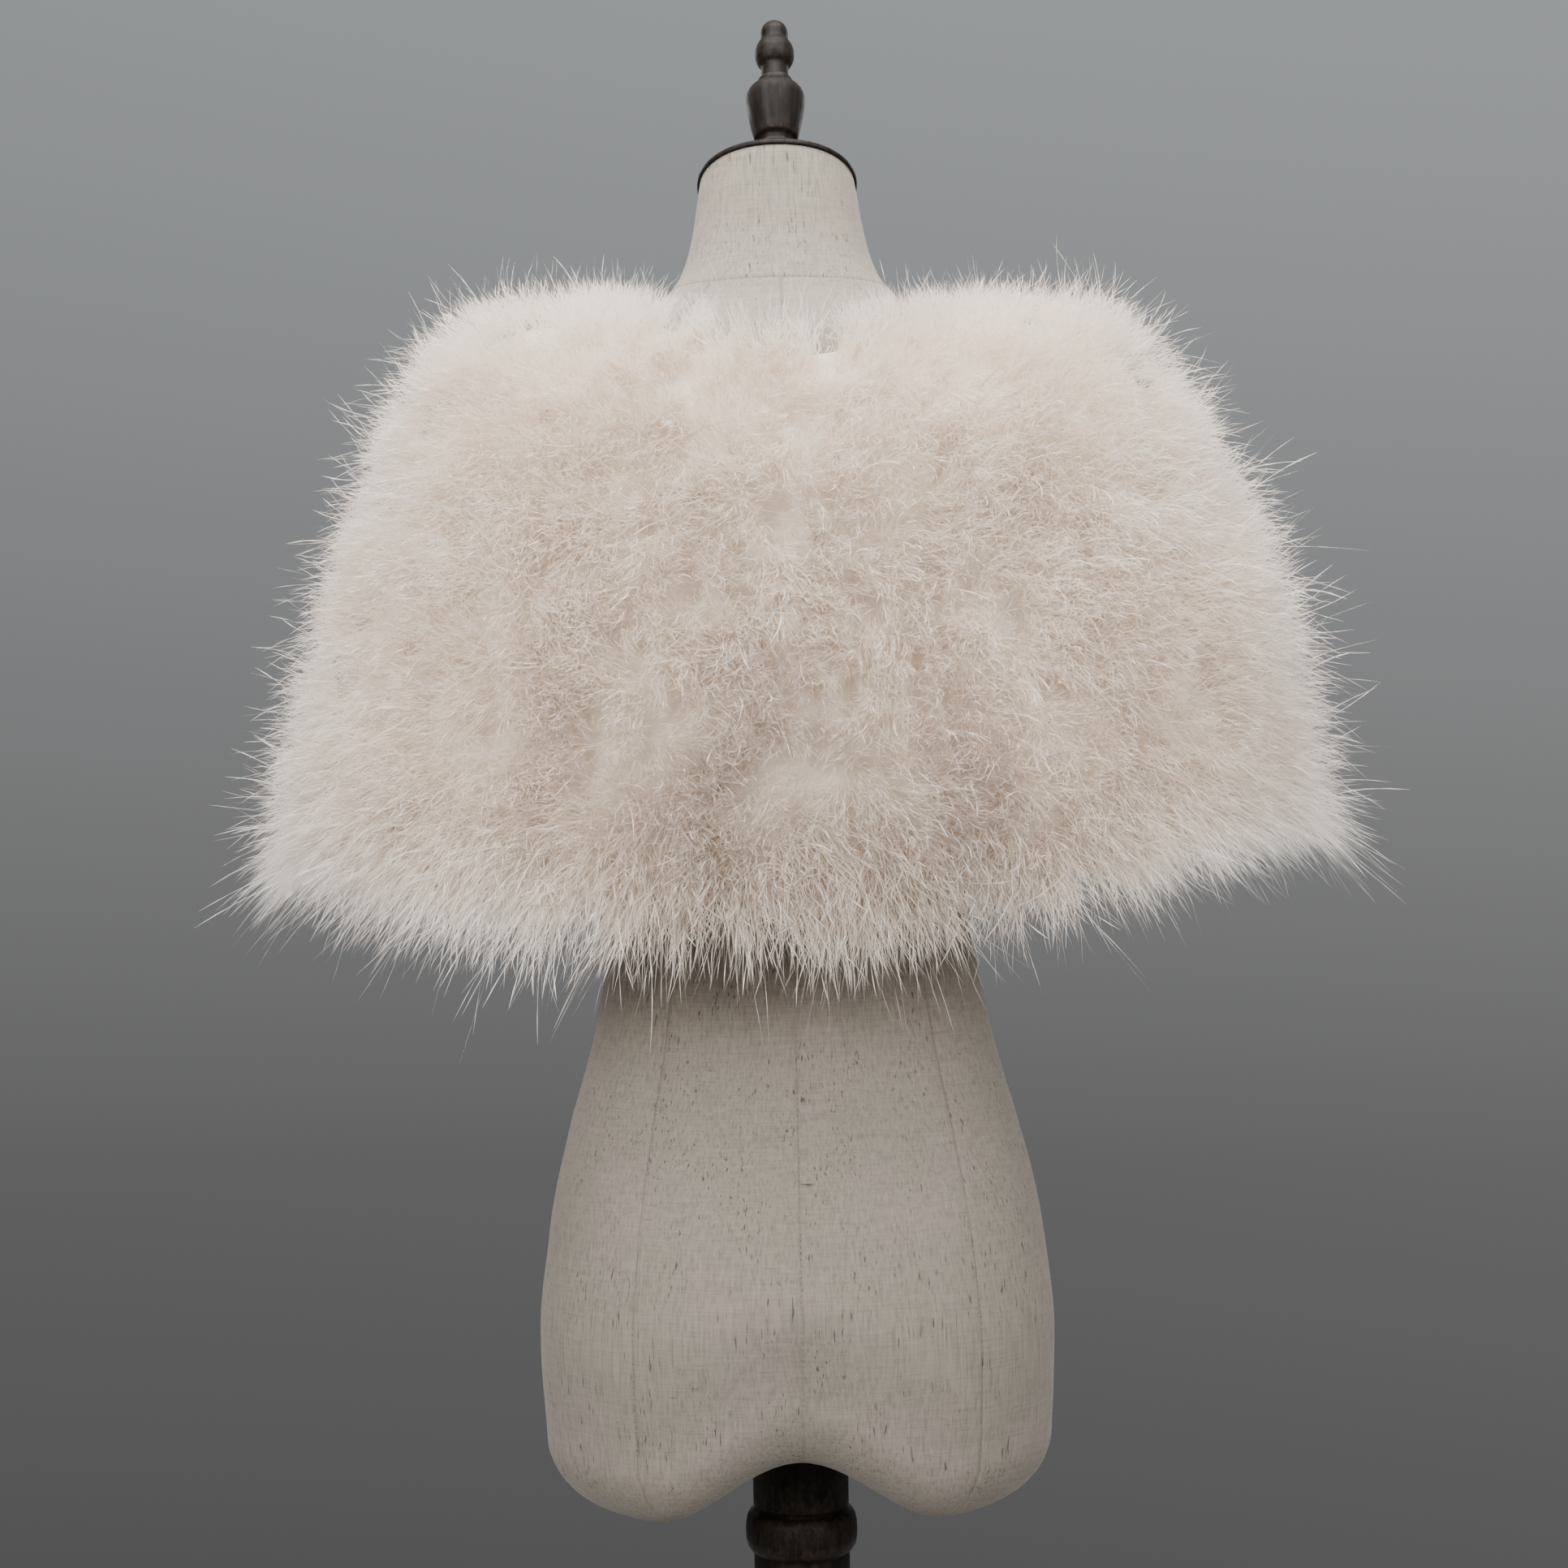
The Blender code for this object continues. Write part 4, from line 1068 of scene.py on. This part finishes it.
def form_wall(turns, heights):
    """Points at turns round the form's level sections, by its half-axes times powers of cosine and sine.

    The power is 2 over the roundness. The neck's sections tilt more and more to its top, so there a point's
    height grows with its way back, and near the foot they rise with the notch.
    """
    power = 2 / FORM_ROUNDNESS
    cos, sin = np.cos(turns), np.sin(turns)
    side, away = np.sign(cos) * np.abs(cos) ** power, np.sign(sin) * np.abs(sin) ** power
    wide, middle, deep = form_section(heights)
    lean = np.clip((heights - NECK_TILT_STARTS) / (FORM_SECTIONS[-1].height - NECK_TILT_STARTS), 0, 1)
    height = heights + lean * deep * away * math.tan(NECK_TILT)
    notched = ease((NOTCH_TOP - heights) / (NOTCH_TOP - FORM_FOOT - FOOT_ROUNDING_UP))
    return np.stack([wide * side, middle + deep * away, height + notch(wide * side) * notched], -1)


def form_rings(turns):
    """Rings from the neck's top down the wall, round the foot, across the notched underside, up the socket.

    Round the foot a ring shrinks by 1 minus the cosine of the bend and sinks by its sine.
    """
    top_span, *lower_spans = (np.arange(*span) for span in RING_SPANS)
    by_seam = NECK_SEAM + np.array(RINGS_BY_SEAM)[::-1] * MM
    foot_top = FORM_FOOT + FOOT_ROUNDING_UP
    heights = np.concatenate([top_span, by_seam, *lower_spans, [foot_top]])[:, None]
    wall = form_wall(turns[None], np.broadcast_to(heights, (len(heights), len(turns))))
    top, foot = wall[0], wall[-1]
    middle = form_section(foot_top)[1]
    bends = np.radians(np.linspace(0, 90, 14))[1:, None]
    shrink = 1 - FOOT_ROUNDING_IN * (1 - np.cos(bends))
    x, y = foot[:, 0] * shrink, middle + (foot[:, 1] - middle) * shrink
    rounded = np.stack([x, y, FORM_FOOT + FOOT_ROUNDING_UP * (1 - np.sin(bends)) + notch(x)], -1)
    angle = np.arctan2(foot[:, 1] - middle, foot[:, 0])
    hole = SOCKET_RADIUS * np.stack([np.cos(angle), np.sin(angle)], -1)
    share = np.array([0.2, 0.4, 0.6, 0.8, 0.96, 1.0])[:, None, None]
    flat = rounded[-1][None, :, :2] * (1 - share) + hole[None] * share
    under = np.concatenate([flat, (FORM_FOOT + notch(flat[..., 0]))[..., None]], -1)
    socket = np.concatenate([hole, np.full((len(turns), 1), SOCKET_CEILING)], -1)[None]
    lid = top.mean(0) + (top - top.mean(0)) * np.array([0.5, 0.97])[:, None, None]
    return np.concatenate([lid, wall, rounded, under, socket])


def seam_turns():
    """Angles of the mesh's columns, and how many degrees each is from its nearest seam."""
    starts = np.array(SEAM_TURNS)
    widths = np.diff([*SEAM_TURNS, 360.0 + SEAM_TURNS[0]])
    shares = np.array(SEAM_SHARES)
    turns = (starts[:, None] + widths[:, None] * shares).ravel()
    return np.radians(turns), (widths[:, None] * np.minimum(shares, 1 - shares)).ravel()


def linen_points():
    """The cover's rings, drawn in by the seams' grooves and the hollow, and uneven as stretched cloth is.

    A groove is a bell curve over the distance from its seam, and so is the hollow over the distance from the
    centre back.
    """
    turns, from_seam = seam_turns()
    rings = form_rings(turns)
    round_it = np.roll(rings, -1, axis=1) - np.roll(rings, 1, axis=1)
    normal = unit(np.cross(np.gradient(rings, axis=0), round_it))
    x, y, height = (rings[..., axis] for axis in range(3))
    apart = np.radians(from_seam) * np.linalg.norm(rings[..., :2], axis=-1)
    below_neck = (height < NECK_SEAM) & (height > FORM_FOOT - 2 * MM)
    groove = np.maximum(bell(apart / SEAM_REACH) * below_neck, bell((height - NECK_SEAM) / (0.8 * MM)))
    hollow = HOLLOW_DEPTH * bell(x / HOLLOW_HALF_WIDTH) * ease((HOLLOW_TOP - height) / HOLLOW_RUN) * (y > 0)
    uneven = sum(rippled(rings, each) for each in COVER_RIPPLES)
    row = np.arange(len(rings))
    on_wall = ease((row - 2) / 4) * ease((len(rings) - 7 - row) / 13)
    moved = (uneven - SEAM_DEPTH * groove - hollow) * on_wall[:, None]
    return rings + normal * moved[..., None], groove


def seam_paths():
    """Lines along which the cover is stitched: down each upright seam, and round the neck."""
    heights = np.linspace(NECK_SEAM - 2 * MM, FORM_FOOT + FOOT_ROUNDING_UP - 0.01, 400)
    for turn in SEAM_TURNS:
        yield form_wall(np.full_like(heights, math.radians(turn)), heights)
    around = np.linspace(0, 2 * math.pi, 300)
    yield form_wall(around, np.full_like(around, NECK_SEAM))


def stitches_along(path, length):
    """Stitches laid end to end with small gaps along a path: each a spindle that points along it."""
    reached = np.concatenate([[0], np.cumsum(np.linalg.norm(np.diff(path, axis=0), axis=1))])
    places = np.arange(length, reached[-1], length + STITCH_GAP)
    before, at, after = (
        np.stack([np.interp(places + off, reached, path[:, axis]) for axis in range(3)], -1)
        for off in (-FIELD_STEP, 0, FIELD_STEP)
    )
    along, outward = unit(after - before), form_distance(at)[1]
    side = unit(np.cross(along, outward)) * STITCH_RADIUS
    middle, end, rise = at - outward * (0.12 * MM), along * length / 2, outward * STITCH_RADIUS
    return middle[:, None] + np.stack([-end, side, rise, -side, -rise, end], 1)


def spindle_faces(count):
    """Triangles of six-pointed spindles: each end point with each pair of the middle four."""
    pairs = ((1, 2), (2, 3), (3, 4), (4, 1))
    corners = np.array([(0, b, a) for a, b in pairs] + [(5, a, b) for a, b in pairs])
    return (np.arange(count)[:, None, None] * 6 + corners).reshape(-1, 3)


def neck_place(points):
    """Points of the neck's own frame put on its tilted top: turned about X, then moved."""
    top = FORM_SECTIONS[-1].height
    middle = float(form_section(top)[1])
    cos, sin = math.cos(NECK_TILT), math.sin(NECK_TILT)
    x, y, z = points[..., 0], points[..., 1], points[..., 2]
    return np.stack([x, middle + y * cos - z * sin, top + y * sin + z * cos], -1)


def refine(profile, count):
    """Many heights and radii along a profile, on smooth curves over the length of its straight steps."""
    height, radius = np.array(profile).T
    reached = np.concatenate([[0], np.cumsum(np.hypot(np.diff(height), np.diff(radius)) + 1e-5)])
    at = np.sort(np.concatenate([reached, np.linspace(0, reached[-1], count)]))
    at = at[np.concatenate([[True], np.diff(at) > 2e-5])]
    return smooth_through(reached, height, at), smooth_through(reached, radius, at)


def sharpness(height, radius):
    """How far each place of a profile stands out, from 0 to 1: how much the profile turns there."""
    turn = np.unwrap(np.arctan2(np.gradient(height), -np.gradient(radius)))
    bend = -np.gradient(turn)
    bend = np.convolve(np.pad(bend, 1, mode="edge"), [0.25, 0.5, 0.25], "valid")
    return np.clip(bend / 0.25, 0, 1)


def finish_turned(name, rings, edge, finish):
    """A turned piece from its rings, with a number for each point that is high where wear shows the wood."""
    made = loft(name, rings)
    set_attribute(made, "edge", np.concatenate([np.repeat(edge, rings.shape[1]), edge[[0, -1]]]))
    finish_piece(made, finish, [name.replace("turned_", "")])


def turned_rings(profile, count, steps, lift=0.0):
    """Circles round the Z axis for each place of a profile, from the top one down, and how sharp each is."""
    height, radius = refine(profile, count)
    edge = sharpness(height, radius)[::-1]
    height, radius = height[::-1, None] + lift, radius[::-1, None]
    turn = np.linspace(0, 2 * math.pi, steps, endpoint=False)
    x, y = radius * np.cos(turn), radius * np.sin(turn)
    return np.stack([x, y, np.broadcast_to(height, x.shape)], -1), edge


def cap_rings():
    """A dome with the neck's own outline: rings between that outline and the finial's round seat."""
    turn = np.linspace(0, 2 * math.pi, CAP_STEPS, endpoint=False)
    top = FORM_SECTIONS[-1].height
    outline = form_wall(turn, np.full(CAP_STEPS, top))[:, :2]
    outline[:, 1] = (outline[:, 1] - float(form_section(top)[1])) / math.cos(NECK_TILT)
    reach = np.linalg.norm(outline, axis=1, keepdims=True)
    edge, seat = outline * (1 + CAP_OVERHANG / reach), outline / reach * CAP_SEAT_RADIUS
    stations = np.arange(len(CAP_PROFILE))
    fine = np.linspace(0, len(CAP_PROFILE) - 1, CAP_ROWS)
    curves = (smooth_through(stations, values, fine) for values in zip(*CAP_PROFILE))
    inwards, height = (values[::-1, None, None] for values in curves)
    flat = edge + (seat - edge) * inwards
    rings = np.concatenate([flat, np.broadcast_to(height, (*flat.shape[:2], 1))], -1)
    return neck_place(rings), bell((fine[::-1] - 2.5) / 1.2)


class CAPELET_OT_ground_cloth(bpy.types.Operator):
    """Cut the three panels of the ground cloth and drape them on the form"""

    bl_idname = "capelet.ground_cloth"
    bl_label = "Ground cloth"

    def execute(self, context):
        cloth = draped_cloth()
        finish = knit_material(context.scene.capelet_plumes, bpy.data.node_groups["Thread weave"])
        for panel, cut in zip(PANELS, CUTS):
            columns, rows = (50 if panel.name == "back" else 26), 28
            angle, v = panel_grid(panel, columns, rows)
            inner = cloth.read("points", angle, v)
            outer = inner + unit(cloth.read("normals", angle, v)) * CLOTH
            walls = np.concatenate([outer, inner])
            made = build_mesh("cloth_" + panel.name, walls, wall_quads(rows, columns))
            finish_piece(made, finish, ["ground_" + panel.name])
        return {"FINISHED"}


class CAPELET_OT_linen_form(bpy.types.Operator):
    """Stretch the linen cover over the form and stitch its seams"""

    bl_idname = "capelet.linen_form"
    bl_label = "Linen form"

    def execute(self, context):
        settings = context.scene.capelet_form
        finish = linen_material(settings, weave_group())
        rings, groove = linen_points()
        made = loft("linen_cover", rings)
        set_attribute(made, "seam", np.concatenate([groove.ravel(), [0.0, 0.0]]))
        finish_piece(made, finish, ["form_torso"])
        points = np.concatenate([stitches_along(path, settings.stitch) for path in seam_paths()])
        made = build_mesh("linen_stitches", points, spindle_faces(len(points)))
        finish_piece(made, finish)
        return {"FINISHED"}


class CAPELET_OT_turned_wood(bpy.types.Operator):
    """Turn the neck cap, the finial, the pole and the base"""

    bl_idname = "capelet.turned_wood"
    bl_label = "Turned wood"

    def execute(self, context):
        settings = context.scene.capelet_form
        grain = grain_group()
        neck_wood = wood_material("neck_wood", settings, grain, NECK_TILT, 0.45)
        stand_wood = wood_material("stand_wood", settings, grain, 0.0, 0.10)
        finish_turned("turned_neck_cap", *cap_rings(), neck_wood)
        lift = CAP_PROFILE[-1].height + 0.3 * MM - FINIAL_PROFILE[0].height
        rings, edge = turned_rings(FINIAL_PROFILE, 60, 72, lift)
        finish_turned("turned_neck_finial", neck_place(rings), edge, neck_wood)
        finish_turned("turned_stand_pole", *turned_rings(POLE_PROFILE, 30, 72), stand_wood)
        finish_turned("turned_stand_base", *turned_rings(BASE_PROFILE, 30, 128), stand_wood)
        return {"FINISHED"}


class CAPELET_OT_fastening(bpy.types.Operator):
    """Finish the hook and the bar at the neck"""

    bl_idname = "capelet.fastening"
    bl_label = "Hook and bar"

    def execute(self, context):
        finish = steel_material()
        for name in ("neck_hook", "neck_bar"):
            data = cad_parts[name].data
            data.materials.clear()
            data.materials.append(finish)
        return {"FINISHED"}


class CAPELET_OT_stage(bpy.types.Operator):
    """Place the camera, the lights, the floor and the background"""

    bl_idname = "capelet.stage"
    bl_label = "Stage"

    def execute(self, context):
        settings = context.scene.capelet_stage
        add_camera(context.scene, settings)
        add_lights(settings)
        add_floor()
        add_background(context.scene)
        return {"FINISHED"}


def add_camera(scene, settings):
    """The camera stands behind the capelet, level, and rolled to its right."""
    data = bpy.data.cameras.new("camera")
    data.lens = data.sensor_width / 2 / math.tan(settings.half_angle)
    camera = bpy.data.objects.new("camera", data)
    scene.collection.objects.link(camera)
    level = Euler((math.pi / 2, 0, math.pi)).to_matrix()
    camera.rotation_euler = (level @ Matrix.Rotation(-settings.roll, 3, "Z")).to_euler()
    camera.location = (2.5 * MM, settings.distance, settings.height)
    scene.camera = camera


def add_light(name, place, target, size, power, spread=180):
    """A square soft light at a place that faces its target and spreads over an angle."""
    data = bpy.data.lights.new(name, "AREA")
    data.size = size
    data.energy = power
    data.spread = math.radians(spread)
    light = bpy.data.objects.new(name, data)
    bpy.context.scene.collection.objects.link(light)
    light.location = place
    aim = np.array(target) - np.array(place)
    light.rotation_euler = Vector(aim).to_track_quat("-Z", "Y").to_euler()


def add_lights(settings):
    """One light above, two behind the capelet, a little stronger at its left, and two before its front."""
    add_light("overhead", (0.0, 0.42, 2.50), (0.0, 0.0, 1.25), 1.4, settings.overhead)
    for side in (-1, 1):
        power = settings.behind * (1 + 0.18 * side)
        add_light("behind", (1.35 * side, 1.95, 2.15), (0.17 * side, 0.0, 1.40), 1.2, power, 64)
        add_light("before", (1.5 * side, -2.2, 2.1), (0.0, 0.0, 1.15), 1.4, settings.before)


def add_floor():
    """A pale round floor, small enough to stay out of the camera's view."""
    turn = np.linspace(0, 2 * math.pi, 96, endpoint=False)
    x, y = np.outer(FLOOR_RADII, np.cos(turn)), np.outer(FLOOR_RADII, np.sin(turn))
    floor = build_mesh("floor", np.stack([x, y, np.zeros_like(x)], -1), grid_quads(*x.shape, closed=True))
    made, shader = new_material("pale_floor")
    shader.surface({"Base Color": FLOOR_GREY, "Roughness": 0.85})
    floor.data.materials.append(made)


def add_background(scene):
    """A grey that darkens downwards and a little to one side, by the direction of view alone."""
    world = bpy.data.worlds.new("backdrop")
    world.use_nodes = True
    world.node_tree.nodes.clear()
    shader = Shader(world.node_tree)
    way = shader.node("SeparateXYZ", {0: shader.node("TexCoord").outputs["Generated"]})
    grey = shader.ramp(shader.remap(way.outputs[2], -VIEW_EDGE, VIEW_EDGE), *BACKGROUND)
    side = shader.remap(way.outputs[0], -VIEW_EDGE, VIEW_EDGE, 1.08, 0.95)
    side = shader.node("CombineColor", {0: side, 1: side, 2: side}).outputs[0]
    sky = shader.node("Background", {0: shader.mix(1.0, grey, side, "MULTIPLY"), 1: 1.0})
    shader.node("OutputWorld", {0: sky.outputs[0]})
    scene.world = world


OPERATORS = (
    CAPELET_OT_linen_form,
    CAPELET_OT_turned_wood,
    CAPELET_OT_ground_cloth,
    CAPELET_OT_plumes,
    CAPELET_OT_fastening,
    CAPELET_OT_stage,
)


class CAPELET_PT_pieces(bpy.types.Panel):
    """The pieces of the capelet and its dress form"""

    bl_label = "Capelet"
    bl_idname = "CAPELET_PT_pieces"
    bl_space_type = "VIEW_3D"
    bl_region_type = "UI"
    bl_category = "Capelet"

    def draw(self, context):
        for operator in OPERATORS:
            self.layout.operator(operator.bl_idname)


CLASSES = (PlumeSettings, FormSettings, StageSettings, *OPERATORS, CAPELET_PT_pieces)


def register():
    for each in CLASSES:
        bpy.utils.register_class(each)
    bpy.types.Scene.capelet_plumes = bpy.props.PointerProperty(type=PlumeSettings)
    bpy.types.Scene.capelet_form = bpy.props.PointerProperty(type=FormSettings)
    bpy.types.Scene.capelet_stage = bpy.props.PointerProperty(type=StageSettings)


def unregister():
    del bpy.types.Scene.capelet_plumes
    del bpy.types.Scene.capelet_form
    del bpy.types.Scene.capelet_stage
    for each in reversed(CLASSES):
        bpy.utils.unregister_class(each)


def main():
    register()
    bpy.ops.capelet.linen_form()
    bpy.ops.capelet.turned_wood()
    bpy.ops.capelet.ground_cloth()
    bpy.ops.capelet.plumes()
    bpy.ops.capelet.fastening()
    bpy.ops.capelet.stage()


if __name__ == "__main__":
    main()
